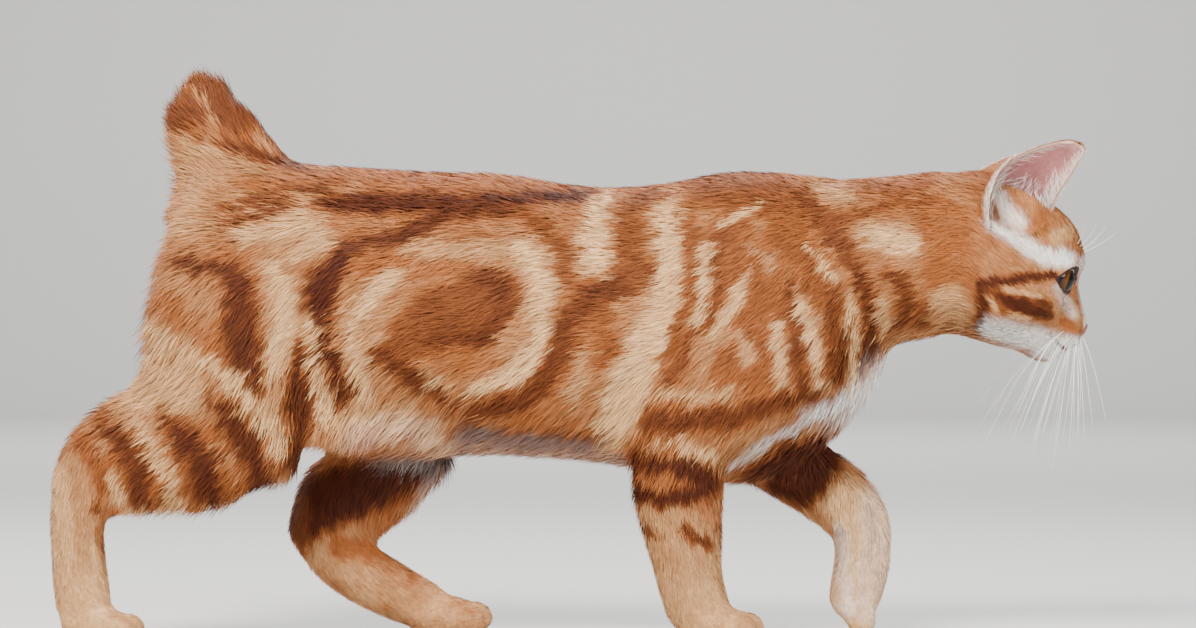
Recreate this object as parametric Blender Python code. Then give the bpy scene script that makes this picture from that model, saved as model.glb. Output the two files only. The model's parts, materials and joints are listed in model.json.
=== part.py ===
"""A life-size Manx cat, walking, with a short tail stump. Metres, +Z up, the cat faces +X.

The flesh is modelled whole, from tubes and ellipsoids whose sizes are named below. A voxel remesh joins
them, smoothing blends them, and thin cuts then part the body into head, neck, torso, tail and legs.
The cat's left is +Y. Its origin is on the floor, under the middle of its outline.
"""

import math

import bmesh
import bpy
import numpy as np
from mathutils import Matrix, Vector

# General sizes
GAP = 0.0003                    # left between nodes that touch
BACK_HEIGHT = 0.248             # floor to the top of the withers
HALF_GIRTH = 0.056              # half of the width of the barrel at its widest

# Head
HEAD_CENTRE = (0.2320, 0.0060, 0.1955)
HEAD_PITCH = math.radians(24)   # nose down
HEAD_YAW = math.radians(7)      # nose to the cat's left
HEAD_ROLL = math.radians(3)     # crown to the cat's left
EYE_RADIUS = 0.0105
EYE_PLACE = (0.0215, 0.0175, 0.0050)        # the left one, in the head's own frame
EYE_LOOK = (0.84, 0.53, 0.06)
LID_THICKNESS = 0.0017
EYE_OPENING = (0.0200, 0.0140)  # width and height of the gap between the lids
EYE_TILT = math.radians(11)     # outer corner up
EAR_FACES = (0.36, 0.93)        # where the left cup opens to, seen from above
EAR_THICKNESS = 0.0018

# Fineness of the solids
VOXEL = 0.0017
FACE_CUTS = 3                   # how often the face's squares are cut finer
FACE_FADE = 0.012               # over which the neck's surface becomes the head's
TOES_TOP = 0.020                # under this height the forms are hardly smoothed
LEG_FADE = 0.060                # over which the smoothing grows up the legs
FACE_START = 0.232              # ahead of this x it is slight again
NECK_FADE = 0.030
FLESH_TRIANGLES = 7000          # the whole cat before it is parted
HEAD_TRIANGLES = 3600

# Colours, linear
COAT = (0.55, 0.25, 0.10, 1.0)
PALE_COAT = (0.72, 0.52, 0.34, 1.0)
EAR_PINK = (0.62, 0.33, 0.29, 1.0)
EYE_AMBER = (0.30, 0.19, 0.05, 1.0)
NOSE_PINK = (0.45, 0.16, 0.13, 1.0)


def clear_scene():
    for obj in list(bpy.data.objects):
        bpy.data.objects.remove(obj)


def material(name, colour, roughness):
    made = bpy.data.materials.new(name)
    made.use_nodes = True
    shader = made.node_tree.nodes["Principled BSDF"]
    shader.inputs["Base Color"].default_value = colour
    shader.inputs["Roughness"].default_value = roughness
    shader.inputs["Metallic"].default_value = 0.0
    return made


def new_object(name, bm):
    bmesh.ops.recalc_face_normals(bm, faces=bm.faces)
    mesh = bpy.data.meshes.new(name)
    bm.to_mesh(mesh)
    bm.free()
    obj = bpy.data.objects.new(name, mesh)
    bpy.context.scene.collection.objects.link(obj)
    return obj


def settle(obj):
    """Replaces the object's mesh by what its modifiers make of it."""
    bpy.context.view_layer.update()
    graph = bpy.context.evaluated_depsgraph_get()
    mesh = bpy.data.meshes.new_from_object(obj.evaluated_get(graph))
    obj.modifiers.clear()
    old = obj.data
    obj.data = mesh
    bpy.data.meshes.remove(old)
    return obj


def smooth_between(stations, steps):
    """Catmull-Rom through the stations, each a row of numbers, with steps rows for each gap."""
    rows = np.array(stations, float)
    ends = np.vstack([2 * rows[0] - rows[1], rows, 2 * rows[-1] - rows[-2]])
    found = []
    for i in range(1, len(ends) - 2):
        a, b, c, d = ends[i - 1 : i + 3]
        for k in range(steps):
            t = k / steps
            found.append(
                0.5 * (2 * b + (c - a) * t + (2 * a - 5 * b + 4 * c - d) * t**2
                       + (3 * b - a - 3 * c + d) * t**3)
            )
    found.append(rows[-1])
    return np.array(found)


def skin_rings(bm, rings):
    """Closes a row of rings of points into a tube with capped ends."""
    loops = [[bm.verts.new(p) for p in ring] for ring in rings]
    count = len(loops[0])
    for low, high in zip(loops, loops[1:]):
        for k in range(count):
            bm.faces.new((low[k], low[(k + 1) % count], high[(k + 1) % count], high[k]))
    for loop in (loops[0], loops[-1]):
        bm.faces.new(loop)


def tube(name, stations, sides=28, steps=5):
    """A limb: each station is x, y, z, its half width across the cat and its half depth in side view.

    The two end rings are followed by smaller ones, so the ends are rounded.
    """
    rows = smooth_between(stations, steps)
    places = rows[:, :3]
    along = np.gradient(places, axis=0)
    along /= np.linalg.norm(along, axis=1)[:, None]
    rings = []

    def ring(place, direction, half_width, half_depth):
        across = np.array((0.0, 1.0, 0.0))
        across -= direction * across.dot(direction)
        across /= np.linalg.norm(across)
        deep = np.cross(direction, across)
        turn = np.linspace(0, 2 * math.pi, sides, endpoint=False)[:, None]
        return place + across * half_width * np.cos(turn) + deep * half_depth * np.sin(turn)

    def dome(row, direction, sign):
        for t in (0.9, 0.65, 0.35):
            reach = min(row[3], row[4]) * t * sign
            shrink = math.sqrt(1 - t * t)
            yield ring(row[:3] + direction * reach, direction, row[3] * shrink, row[4] * shrink)

    rings += list(dome(rows[0], along[0], -1.0))
    rings += [ring(r[:3], d, r[3], r[4]) for r, d in zip(rows, along)]
    rings += reversed(list(dome(rows[-1], along[-1], 1.0)))
    bm = bmesh.new()
    skin_rings(bm, rings)
    return new_object(name, bm)


def barrel(name, stations, sides=40, steps=5):
    """The trunk: each station is x, top, bottom, half width and the height of the widest place."""
    squareness = 2 / 2.15
    rings = []
    for x, top, bottom, half_width, widest in smooth_between(stations, steps):
        turn = np.linspace(0, 2 * math.pi, sides, endpoint=False)
        side = np.sign(np.cos(turn)) * np.abs(np.cos(turn)) ** squareness
        rise = np.sign(np.sin(turn)) * np.abs(np.sin(turn)) ** squareness
        height = np.where(rise > 0, top - widest, widest - bottom)
        rings.append(np.stack([np.full(sides, x), half_width * side, widest + height * rise], 1))
    bm = bmesh.new()
    skin_rings(bm, rings)
    return new_object(name, bm)


def ellipsoid(name, place, radii, segments=28, lean=0.0):
    """An egg at place, with half sizes radii, its front end leaned down by an angle."""
    bm = bmesh.new()
    matrix = Matrix.Translation(place) @ Matrix.Rotation(lean, 4, "Y") @ Matrix.Diagonal((*radii, 1.0))
    rings = segments * 2 // 3
    bmesh.ops.create_uvsphere(bm, u_segments=segments, v_segments=rings, radius=1.0, matrix=matrix)
    return new_object(name, bm)


def head_matrix():
    """From the head's own frame, with a level face along +X, to the cat's."""
    return (
        Matrix.Translation(HEAD_CENTRE)
        @ Matrix.Rotation(HEAD_YAW, 4, "Z")
        @ Matrix.Rotation(HEAD_PITCH, 4, "Y")
        @ Matrix.Rotation(-HEAD_ROLL, 4, "X")
    )


def trunk_forms():
    """Torso, neck, shoulders and thighs."""
    torso = [
        # x, top, bottom, half width, height of the widest place
        (-0.211, 0.232, 0.186, 0.010, 0.208),
        (-0.205, 0.240, 0.168, 0.022, 0.204),
        (-0.190, 0.247, 0.146, 0.034, 0.198),
        (-0.160, 0.252, 0.120, 0.043, 0.190),
        (-0.137, 0.252, 0.106, 0.047, 0.184),
        (-0.105, 0.250, 0.098, 0.050, 0.178),
        (-0.070, 0.248, 0.097, 0.053, 0.172),
        (-0.035, 0.247, 0.098, 0.055, 0.168),
        (0.003, 0.241, 0.096, HALF_GIRTH, 0.166),
        (0.030, 0.240, 0.092, 0.055, 0.166),
        (0.056, 0.243, 0.087, 0.051, 0.167),
        (0.083, BACK_HEIGHT, 0.083, 0.047, 0.168),
        (0.109, BACK_HEIGHT, 0.086, 0.046, 0.172),
        (0.130, 0.246, 0.098, 0.042, 0.178),
        (0.149, 0.244, 0.116, 0.036, 0.184),
        (0.163, 0.240, 0.136, 0.028, 0.190),
        (0.174, 0.230, 0.156, 0.016, 0.196),
    ]
    neck = [
        (0.118, 0.000, 0.188, 0.040, 0.048),
        (0.146, 0.000, 0.197, 0.038, 0.047),
        (0.172, 0.001, 0.2015, 0.036, 0.0445),
        (0.200, 0.003, 0.2055, 0.036, 0.0435),
        (0.218, 0.005, 0.206, 0.034, 0.040),
        (0.232, 0.006, 0.204, 0.028, 0.032),
    ]
    forms = [barrel("trunk", torso), tube("neck", neck)]
    for side in (1.0, -1.0):
        shoulder = [
            (0.088, side * 0.020, 0.226, 0.014, 0.024),
            (0.104, side * 0.029, 0.200, 0.017, 0.033),
            (0.120, side * 0.033, 0.174, 0.018, 0.032),
            (0.130, side * 0.034, 0.158, 0.016, 0.024),
        ]
        forms.append(tube("shoulder", shoulder))
        forms.append(ellipsoid("flank_fold", (-0.106, side * 0.026, 0.116), (0.052, 0.014, 0.014)))
    return forms


def near_foreleg():
    """The cat's right foreleg, which carries weight, from the point of the shoulder to the wrist."""
    upper = [
        (0.130, -0.036, 0.160, 0.017, 0.026),
        (0.098, -0.038, 0.142, 0.019, 0.032),
        (0.068, -0.037, 0.122, 0.018, 0.029),
        (0.054, -0.036, 0.108, 0.015, 0.021),
    ]
    lower = [
        (0.060, -0.036, 0.116, 0.017, 0.027),
        (0.0575, -0.035, 0.094, 0.0175, 0.0262),
        (0.0580, -0.033, 0.074, 0.0165, 0.0240),
        (0.0605, -0.031, 0.054, 0.0150, 0.0208),
        (0.0630, -0.029, 0.036, 0.0140, 0.0180),
        (0.0670, -0.028, 0.021, 0.0140, 0.0172),
    ]
    return [tube("upper_arm", upper), tube("forearm", lower)]


def far_foreleg():
    """The cat's left foreleg, swung forward with its wrist bent, so that only the toe tips touch."""
    upper = [
        (0.130, 0.036, 0.160, 0.017, 0.026),
        (0.121, 0.037, 0.134, 0.018, 0.029),
        (0.109, 0.036, 0.112, 0.016, 0.025),
    ]
    lower = [
        (0.104, 0.035, 0.102, 0.0160, 0.0215),
        (0.126, 0.033, 0.0875, 0.0160, 0.0208),
        (0.143, 0.031, 0.0760, 0.0150, 0.0198),
        (0.1545, 0.0295, 0.0630, 0.0142, 0.0178),
        (0.1575, 0.0285, 0.0480, 0.0138, 0.0158),
        (0.1555, 0.0280, 0.0320, 0.0140, 0.0152),
        (0.1530, 0.0280, 0.0220, 0.0140, 0.0142),
    ]
    return [tube("upper_arm", upper), tube("forearm", lower)]


def near_hind_leg():
    """The cat's right hind leg, stretched back, from the hip to the ball of the foot."""
    thigh = [
        (-0.176, -0.024, 0.212, 0.020, 0.034),
        (-0.180, -0.032, 0.186, 0.022, 0.040),
        (-0.182, -0.036, 0.160, 0.022, 0.0425),
        (-0.176, -0.037, 0.132, 0.021, 0.043),
        (-0.164, -0.036, 0.110, 0.018, 0.034),
    ]
    shank = [
        (-0.152, -0.036, 0.104, 0.016, 0.022),
        (-0.172, -0.036, 0.107, 0.018, 0.035),
        (-0.198, -0.036, 0.106, 0.0175, 0.0375),
        (-0.222, -0.035, 0.102, 0.0160, 0.0350),
        (-0.242, -0.034, 0.0920, 0.0140, 0.0285),
        (-0.2555, -0.033, 0.0800, 0.0128, 0.0200),
    ]
    foot = [
        (-0.2560, -0.033, 0.0880, 0.0125, 0.0150),
        (-0.2570, -0.032, 0.0640, 0.0122, 0.0152),
        (-0.2562, -0.031, 0.0420, 0.0122, 0.0150),
        (-0.2540, -0.030, 0.0220, 0.0130, 0.0148),
    ]
    return [tube("thigh", thigh), tube("shank", shank), tube("metatarsus", foot)]


def far_hind_leg():
    """The cat's left hind leg, drawn forward under the belly, its foot just set down."""
    thigh = [
        (-0.170, 0.024, 0.208, 0.020, 0.036),
        (-0.150, 0.033, 0.178, 0.022, 0.042),
        (-0.126, 0.036, 0.150, 0.021, 0.040),
        (-0.102, 0.036, 0.124, 0.019, 0.032),
        (-0.084, 0.035, 0.106, 0.016, 0.022),
    ]
    shank = [
        (-0.078, 0.034, 0.102, 0.0160, 0.0215),
        (-0.096, 0.034, 0.092, 0.0165, 0.0280),
        (-0.114, 0.033, 0.079, 0.0155, 0.0285),
        (-0.128, 0.032, 0.068, 0.0140, 0.0240),
        (-0.137, 0.031, 0.058, 0.0128, 0.0165),
    ]
    foot = [
        (-0.1385, 0.031, 0.0600, 0.0125, 0.0150),
        (-0.1220, 0.031, 0.0420, 0.0125, 0.0172),
        (-0.1000, 0.030, 0.0275, 0.0125, 0.0160),
        (-0.0780, 0.030, 0.0165, 0.0132, 0.0135),
    ]
    return [tube("thigh", thigh), tube("shank", shank), tube("metatarsus", foot)]


def paw(tips, ball, toe_radii, spread, lead, fall, lean=0.0):
    """Four toes side by side in front of the ball of the foot.

    tips is the middle of the toes' row, ball the middle and half sizes of the ball, spread the way from toe
    to toe, lead how far the two middle toes reach past the outer two, and fall how much lower these end.
    """
    forms = [ellipsoid("ball", *ball, lean=lean)]
    for step in (-1.5, -0.5, 0.5, 1.5):
        middle = 1.0 if abs(step) < 1.0 else 0.0
        x, y, z = tips
        place = (x + lead * middle, y + spread * step, z + fall * middle)
        forms.append(ellipsoid("toe", place, toe_radii, lean=lean))
        rise = toe_radii[2] * 0.35
        knuckle = ((place[0] + ball[0][0]) / 2, place[1] * 0.85 + ball[0][1] * 0.15, place[2] + rise)
        forms.append(ellipsoid("knuckle", knuckle, toe_radii, lean=lean))
    return forms


def paws():
    flat = math.radians(12)
    forms = []
    forms += paw((0.0890, -0.0275, 0.0085), ((0.0720, -0.0275, 0.0120), (0.0175, 0.0150, 0.0135)),
                 (0.0100, 0.0050, 0.0082), 0.0080, 0.0040, 0.0006, flat)
    forms += paw((-0.0545, 0.0295, 0.0095), ((-0.0720, 0.0295, 0.0115), (0.0180, 0.0145, 0.0130)),
                 (0.0100, 0.0049, 0.0085), 0.0078, 0.0038, 0.0010, flat)
    forms += paw((-0.2345, -0.0300, 0.0080), ((-0.2500, -0.0300, 0.0110), (0.0165, 0.0142, 0.0128)),
                 (0.0095, 0.0048, 0.0078), 0.0076, 0.0036, 0.0006, flat)
    forms += paw((0.1560, 0.0280, 0.0110), ((0.1525, 0.0280, 0.0240), (0.0150, 0.0142, 0.0130)),
                 (0.0105, 0.0050, 0.0082), 0.0078, 0.0000, -0.0014, math.radians(72))
    return forms


def tail_form():
    """The stump in its brush of fur, a fan in side view that ends in a soft point."""
    stations = [
        (-0.1720, 0.0, 0.2360, 0.0200, 0.0350),
        (-0.1800, 0.0, 0.2520, 0.0172, 0.0280),
        (-0.1868, 0.0, 0.2660, 0.0165, 0.0258),
        (-0.1900, 0.0, 0.2780, 0.0155, 0.0230),
        (-0.1895, 0.0, 0.2870, 0.0120, 0.0160),
    ]
    return [tube("stump", stations)]


# The head's masses in its own frame: middle, half sizes, and how softly each one joins those before it.
# Those off the middle plane are the left ones, and the right ones mirror them.
HEAD_MASSES = {
    "cranium": ((-0.0100, 0.0, 0.0095), (0.0380, 0.0335, 0.0335), 0.004),
    "forehead": ((0.0105, 0.0, 0.0185), (0.0245, 0.0225, 0.0215), 0.012),
    "temple": ((0.0030, 0.0170, 0.0140), (0.0265, 0.0175, 0.0200), 0.010),
    "cheek": ((-0.0020, 0.0210, -0.0125), (0.0270, 0.0200, 0.0225), 0.012),
    "cheekbone": ((0.0150, 0.0195, -0.0080), (0.0175, 0.0125, 0.0130), 0.010),
    "jaw": ((0.0110, 0.0, -0.0245), (0.0280, 0.0205, 0.0130), 0.012),
    "maxilla": ((0.0270, 0.0085, -0.0115), (0.0160, 0.0115, 0.0120), 0.012),
    "muzzle": ((0.0340, 0.0, -0.0150), (0.0145, 0.0140, 0.0110), 0.010),
    "brow": ((0.0225, 0.0110, 0.0160), (0.0115, 0.0115, 0.0070), 0.009),
    "whisker_pad": ((0.0392, 0.0080, -0.0185), (0.0100, 0.0092, 0.0075), 0.006),
    "chin": ((0.0345, 0.0, -0.0290), (0.0085, 0.0085, 0.0068), 0.009),
}
NOSE_BRIDGE = ((0.0240, 0.0, 0.0090), (0.0425, 0.0, -0.0085), 0.0115, 0.0072)
NECK_ROOT = ((-0.0200, 0.0, 0.0020), (-0.0700, 0.0, -0.0250), 0.0430, 0.0440)
NECK_FLATNESS = 1.20
SOCKET = ((0.0345, 0.0200, 0.0030), (0.0080, 0.0070, 0.0080))
EAR_HOLLOW = ((-0.0105, 0.0300, 0.0290), (0.0120, 0.0090, 0.0130))
NOSE_PAD = ((0.0470, 0.0, -0.0108), (0.0046, 0.0060, 0.0048))
NOSE_WING = ((0.0470, 0.0042, -0.0126), (0.0036, 0.0030, 0.0030))
NOSE_LEATHER = ((0.0478, 0.0, -0.0118), (0.0052, 0.0072, 0.0046))
NOSTRIL = ((0.0505, 0.0030, -0.0136), (0.0462, 0.0066, -0.0126), 0.0012, 0.0007)
# How softly bridge, sockets, ear hollows, lids, nose pad, its wings and the nostrils run into the head
BRIDGE_MELT, SOCKET_MELT, EAR_MELT, LID_MELT = 0.008, 0.008, 0.006, 0.0035
PAD_MELT, WING_MELT, NOSTRIL_MELT = 0.003, 0.0015, 0.0008
HEAD_SEED = np.array((0.004, 0.0, -0.002))      # every line from here meets the head's surface once
# The line of the mouth, from under the nose to the left corner
MOUTH = (
    (0.0500, 0.0000, -0.0165), (0.0495, 0.0000, -0.0225), (0.0475, 0.0042, -0.0252),
    (0.0430, 0.0092, -0.0258), (0.0370, 0.0135, -0.0248), (0.0300, 0.0172, -0.0225),
)
LIP_DEPTH = 0.0014
LIP_WIDTH = 0.0009
LIP_RISE = 0.0004


def egg_distance(points, middle, radii):
    """Roughly how far each point lies outside an ellipsoid."""
    scaled = (points - middle) / radii
    reach = np.linalg.norm(scaled, axis=1)
    slope = np.linalg.norm(scaled / radii, axis=1) + 1e-9
    return reach * (reach - 1.0) / slope


def cone_distance(points, start, end, start_radius, end_radius):
    """How far each point lies outside a round cone with round ends."""
    start = np.array(start)
    along = np.array(end) - start
    t = np.clip((points - start) @ along / (along @ along), 0.0, 1.0)
    radius = start_radius + (end_radius - start_radius) * t
    return np.linalg.norm(points - start - t[:, None] * along, axis=1) - radius


def melt(first, second, softness):
    """The distance to both shapes joined, with the crease between them filled over softness."""
    share = np.clip(0.5 + 0.5 * (second - first) / softness, 0.0, 1.0)
    return second * (1 - share) + first * share - softness * share * (1 - share)


def hollow(first, second, softness):
    return -melt(-first, second, softness)


def head_distance(points):
    """How far each point of the head's own frame lies outside the head."""
    near = points.copy()
    near[:, 1] = np.abs(near[:, 1])
    found = cone_distance(near * (1.0, NECK_FLATNESS, 1.0), *NECK_ROOT)
    for middle, radii, softness in HEAD_MASSES.values():
        found = melt(found, egg_distance(near, middle, radii), softness)
    found = melt(found, cone_distance(near, *NOSE_BRIDGE), BRIDGE_MELT)
    found = hollow(found, egg_distance(near, *SOCKET), SOCKET_MELT)
    found = hollow(found, egg_distance(near, *EAR_HOLLOW), EAR_MELT)
    lids = np.linalg.norm(near - EYE_PLACE, axis=1) - EYE_RADIUS - LID_THICKNESS
    found = melt(found, lids, LID_MELT)
    found = melt(found, egg_distance(near, *NOSE_PAD), PAD_MELT)
    found = melt(found, egg_distance(near, *NOSE_WING), WING_MELT)
    return hollow(found, cone_distance(near, *NOSTRIL), NOSTRIL_MELT)


def on_head(points):
    """Where the lines from the head's seed through the points meet its surface, with the mouth cut in."""
    lines = points - HEAD_SEED
    lines /= np.linalg.norm(lines, axis=1)[:, None]
    reach = np.full(len(lines), 0.125)
    for _ in range(70):
        reach = np.maximum(reach - 0.75 * head_distance(HEAD_SEED + lines * reach[:, None]), 0.004)
    mirrored = np.stack([lines[:, 0], np.abs(lines[:, 1]), lines[:, 2]], 1)
    mouth = np.array(MOUTH) - HEAD_SEED
    mouth /= np.linalg.norm(mouth, axis=1)[:, None]
    off = np.full(len(lines), 9.0)
    for start, end in zip(mouth, mouth[1:]):
        off = np.minimum(off, cone_distance(mirrored, start, end, 0.0, 0.0))
    off *= reach
    reach -= LIP_DEPTH * np.exp(-((off / LIP_WIDTH) ** 2))
    reach += LIP_RISE * np.exp(-(((off - 2.2 * LIP_WIDTH) / LIP_WIDTH) ** 2))
    return HEAD_SEED + lines * reach[:, None]


def rough_head():
    """The head alone, for the whole cat's surface."""
    bm = bmesh.new()
    bmesh.ops.create_icosphere(bm, subdivisions=5, radius=0.05)
    obj = new_object("rough_head", bm)
    move_points(obj, on_head)
    obj.data.transform(head_matrix())
    return obj


def move_points(obj, rule):
    """Moves the mesh's points to where the rule sends the array of them."""
    flat = np.empty(3 * len(obj.data.vertices))
    obj.data.vertices.foreach_get("co", flat)
    obj.data.vertices.foreach_set("co", rule(flat.reshape(-1, 3)).ravel())
    obj.data.update()


def joined(name, objects):
    """One object that holds the meshes of all the objects, which are removed."""
    bm = bmesh.new()
    for obj in objects:
        bm.from_mesh(obj.data)
        bpy.data.objects.remove(obj)
    return new_object(name, bm)


def blend_weight(place):
    """How much a place is smoothed: fully on the trunk, less on the lower legs, least on face and toes."""
    x, _, z = place
    if z < TOES_TOP:
        return 0.02
    up_the_leg = min(1.0, (z - TOES_TOP) / LEG_FADE)
    to_face = min(1.0, max(0.0, (FACE_START - x) / NECK_FADE))
    return max(0.06, min(0.12 + 0.88 * up_the_leg, to_face))


def blended(obj):
    """Joins the forms into one surface and rounds the creases between them."""
    remesh = obj.modifiers.new("join", "REMESH")
    remesh.mode = "VOXEL"
    remesh.voxel_size = VOXEL
    settle(obj)
    group = obj.vertex_groups.new(name="blend")
    for vertex in obj.data.vertices:
        group.add([vertex.index], blend_weight(vertex.co), "REPLACE")
    for name, count, use_group in (("blend", 80, True), ("even", 2, False)):
        smooth = obj.modifiers.new(name, "SMOOTH")
        smooth.factor = 0.5
        smooth.iterations = count
        if use_group:
            smooth.vertex_group = group.name
    return settle(obj)


def duplicate(source, name):
    obj = bpy.data.objects.new(name, source.data.copy())
    bpy.context.scene.collection.objects.link(obj)
    return obj


def thinned(source, name, triangles):
    """A copy of the source with about that many triangles."""
    obj = duplicate(source, name)
    sides = sum(len(p.vertices) - 2 for p in obj.data.polygons)
    decimate = obj.modifiers.new("thin", "DECIMATE")
    decimate.ratio = triangles / sides
    return settle(obj)


def cutter(obj):
    """Marks an object that only cuts others."""
    obj.hide_render = True
    obj.display_type = "WIRE"
    return obj


def prism(name, outline, low_y, high_y):
    """A block with that outline in side view, from low_y to high_y."""
    bm = bmesh.new()
    skin_rings(bm, [[(x, y, z) for x, z in outline] for y in (low_y, high_y)])
    return cutter(new_object(name, bm))


def boolean(obj, operation, *cutters):
    for cutter in cutters:
        change = obj.modifiers.new(operation.lower(), "BOOLEAN")
        change.operation = operation
        change.solver = "EXACT"
        change.object = cutter
    settle(obj)
    for cutter in cutters:
        bpy.data.objects.remove(cutter)
    return obj


def largest_piece(obj):
    """Keeps the largest closed surface and drops any scrap that a cut left."""
    bm = bmesh.new()
    bm.from_mesh(obj.data)
    unseen = set(bm.verts)
    pieces = []
    while unseen:
        piece = {unseen.pop()}
        edge = list(piece)
        while edge:
            vert = edge.pop()
            for link in vert.link_edges:
                other = link.other_vert(vert)
                if other in unseen:
                    unseen.discard(other)
                    piece.add(other)
                    edge.append(other)
        pieces.append(piece)
    keep = max(pieces, key=len)
    bmesh.ops.delete(bm, geom=[v for v in bm.verts if v not in keep], context="VERTS")
    bm.to_mesh(obj.data)
    bm.free()
    return obj


WIDE = 0.12                     # further than any part reaches to a side
DEEP = -0.03                    # under the floor
FRONT = 0.36
BACK = -0.36
HIGH = 0.36

# Where the body is parted, in side view as x, z. Each line is the edge of the first-named part.
NECK_LINE = ((0.143, HIGH), (0.152, 0.250), (0.176, 0.152), (0.196, 0.060))
HEAD_LINE = ((0.2030, HIGH), (0.2050, 0.250), (0.2160, 0.150), (0.225, 0.060))
TAIL_LINE = ((-0.240, 0.233), (-0.120, 0.2605))
NEAR_HIND_LINE = ((-0.300, 0.190), (-0.118, 0.0735))
NEAR_HOCK_LINE = ((-0.300, 0.1120), (-0.222, 0.0320))
NEAR_HIND_PAW_LINE = ((-0.300, 0.0215), (-0.200, 0.0215))
FAR_HIND_LINE = ((-0.172, 0.0985), (-0.040, 0.0900))
FAR_HOCK_LINE = ((-0.172, 0.0760), (-0.088, 0.0480), (-0.040, 0.0320))
FAR_HIND_PAW_LINE = ((-0.0960, -0.030), (-0.0680, 0.0450))
NEAR_FORE_LINE = ((0.010, 0.0880), (0.110, 0.0750))
NEAR_FORE_PAW_LINE = ((0.020, 0.0240), (0.130, 0.0240))
FAR_FORE_LINE = ((0.096, 0.060), (0.126, 0.1040), (0.240, 0.1120))
FAR_FORE_PAW_LINE = ((0.110, 0.0270), (0.220, 0.0270))


def moved(line, by):
    return tuple((x + by[0], z + by[1]) for x, z in line)


def ahead_of(line, by=0.0):
    """The block in front of a line that runs from top to bottom."""
    line = moved(line, (by, 0.0))
    return prism("ahead", (*line, (FRONT, line[-1][1]), (FRONT, line[0][1])), -WIDE, WIDE)


def above(line, by=0.0):
    line = moved(line, (0.0, by))
    return prism("above", (*line, (line[-1][0], HIGH), (line[0][0], HIGH)), -WIDE, WIDE)


def below(line, low_y, high_y, by=0.0):
    """The block under a line that runs from back to front."""
    line = moved(line, (0.0, by))
    return prism("below", (*line, (line[-1][0], DEEP), (line[0][0], DEEP)), low_y, high_y)


def node(source, name, finish, keep=(), drop=()):
    """A node: a copy of the source cut to the keep blocks, less the drop blocks."""
    obj = duplicate(source, name)
    boolean(obj, "INTERSECT", *keep)
    boolean(obj, "DIFFERENCE", *drop)
    largest_piece(obj)
    dress(obj, finish)
    return obj


def dress(obj, finish):
    obj.data.materials.clear()
    obj.data.materials.append(finish)
    obj.data.shade_smooth()
    obj.data.set_sharp_from_angle(angle=math.radians(50))


NEAR = (-WIDE, -0.0015)
FAR = (0.0015, WIDE)


def part_body(body, coat, pale):
    """The nodes of torso, neck, tail and legs."""
    node(body, "torso", coat, drop=(
        ahead_of(NECK_LINE), above(TAIL_LINE),
        below(NEAR_HIND_LINE, *NEAR), below(FAR_HIND_LINE, *FAR),
        below(NEAR_FORE_LINE, *NEAR), below(FAR_FORE_LINE, *FAR),
    ))
    node(body, "neck", coat, keep=(ahead_of(NECK_LINE, GAP),), drop=(ahead_of(HEAD_LINE),))
    node(body, "tail", coat, keep=(above(TAIL_LINE, GAP),))
    node(body, "hind_leg_right", coat, keep=(below(NEAR_HIND_LINE, *NEAR, -GAP),),
         drop=(below(NEAR_HOCK_LINE, *NEAR),))
    node(body, "hind_foot_right", pale, keep=(below(NEAR_HOCK_LINE, *NEAR, -GAP),),
         drop=(below(NEAR_HIND_PAW_LINE, *NEAR),))
    node(body, "hind_paw_right", pale, keep=(below(NEAR_HIND_PAW_LINE, *NEAR, -GAP),))
    node(body, "hind_leg_left", coat, keep=(below(FAR_HIND_LINE, *FAR, -GAP),),
         drop=(below(FAR_HOCK_LINE, *FAR),))
    far_paw = (*FAR_HIND_PAW_LINE, (-0.020, 0.045), (-0.020, DEEP))
    node(body, "hind_foot_left", pale, keep=(below(FAR_HOCK_LINE, *FAR, -GAP),),
         drop=(prism("paw", far_paw, *FAR),))
    node(body, "hind_paw_left", pale,
         keep=(prism("paw", moved(far_paw, (GAP, 0.0)), *FAR),))
    node(body, "foreleg_right", coat, keep=(below(NEAR_FORE_LINE, *NEAR, -GAP),),
         drop=(below(NEAR_FORE_PAW_LINE, *NEAR),))
    node(body, "forepaw_right", pale, keep=(below(NEAR_FORE_PAW_LINE, *NEAR, -GAP),))
    node(body, "foreleg_left", coat, keep=(below(FAR_FORE_LINE, *FAR, -GAP),),
         drop=(below(FAR_FORE_PAW_LINE, *FAR),))
    node(body, "forepaw_left", pale, keep=(below(FAR_FORE_PAW_LINE, *FAR, -GAP),))


def carve_head(flesh):
    """The head with its face, from a finer copy of the whole cat. It still holds a little of the neck."""
    head = boolean(duplicate(flesh, "head"), "INTERSECT", ahead_of(HEAD_LINE, -FACE_FADE))
    bm = bmesh.new()
    bm.from_mesh(head.data)
    bmesh.ops.subdivide_edges(bm, edges=bm.edges, cuts=FACE_CUTS, use_grid_fill=True)
    bm.to_mesh(head.data)
    bm.free()
    to_cat = np.array(head_matrix())
    from_cat = np.linalg.inv(to_cat)
    line_x, line_z = np.array(HEAD_LINE)[::-1].T

    def onto_face(points):
        ahead = (points[:, 0] - np.interp(points[:, 2], line_z, line_x) - GAP) / FACE_FADE
        share = np.clip(ahead, 0.0, 1.0)[:, None]
        share = share * share * (3 - 2 * share)
        face = on_head(points @ from_cat[:3, :3].T + from_cat[:3, 3])
        face = face @ to_cat[:3, :3].T + to_cat[:3, 3]
        return points * (1 - share) + face * share

    move_points(head, onto_face)
    return head


def eye_place(side):
    x, y, z = EYE_PLACE
    return head_matrix() @ Vector((x, side * y, z))


def eyeball(name, side, radius):
    bm = bmesh.new()
    matrix = Matrix.Translation(eye_place(side))
    bmesh.ops.create_uvsphere(bm, u_segments=20, v_segments=12, radius=radius, matrix=matrix)
    return new_object(name, bm)


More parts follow.
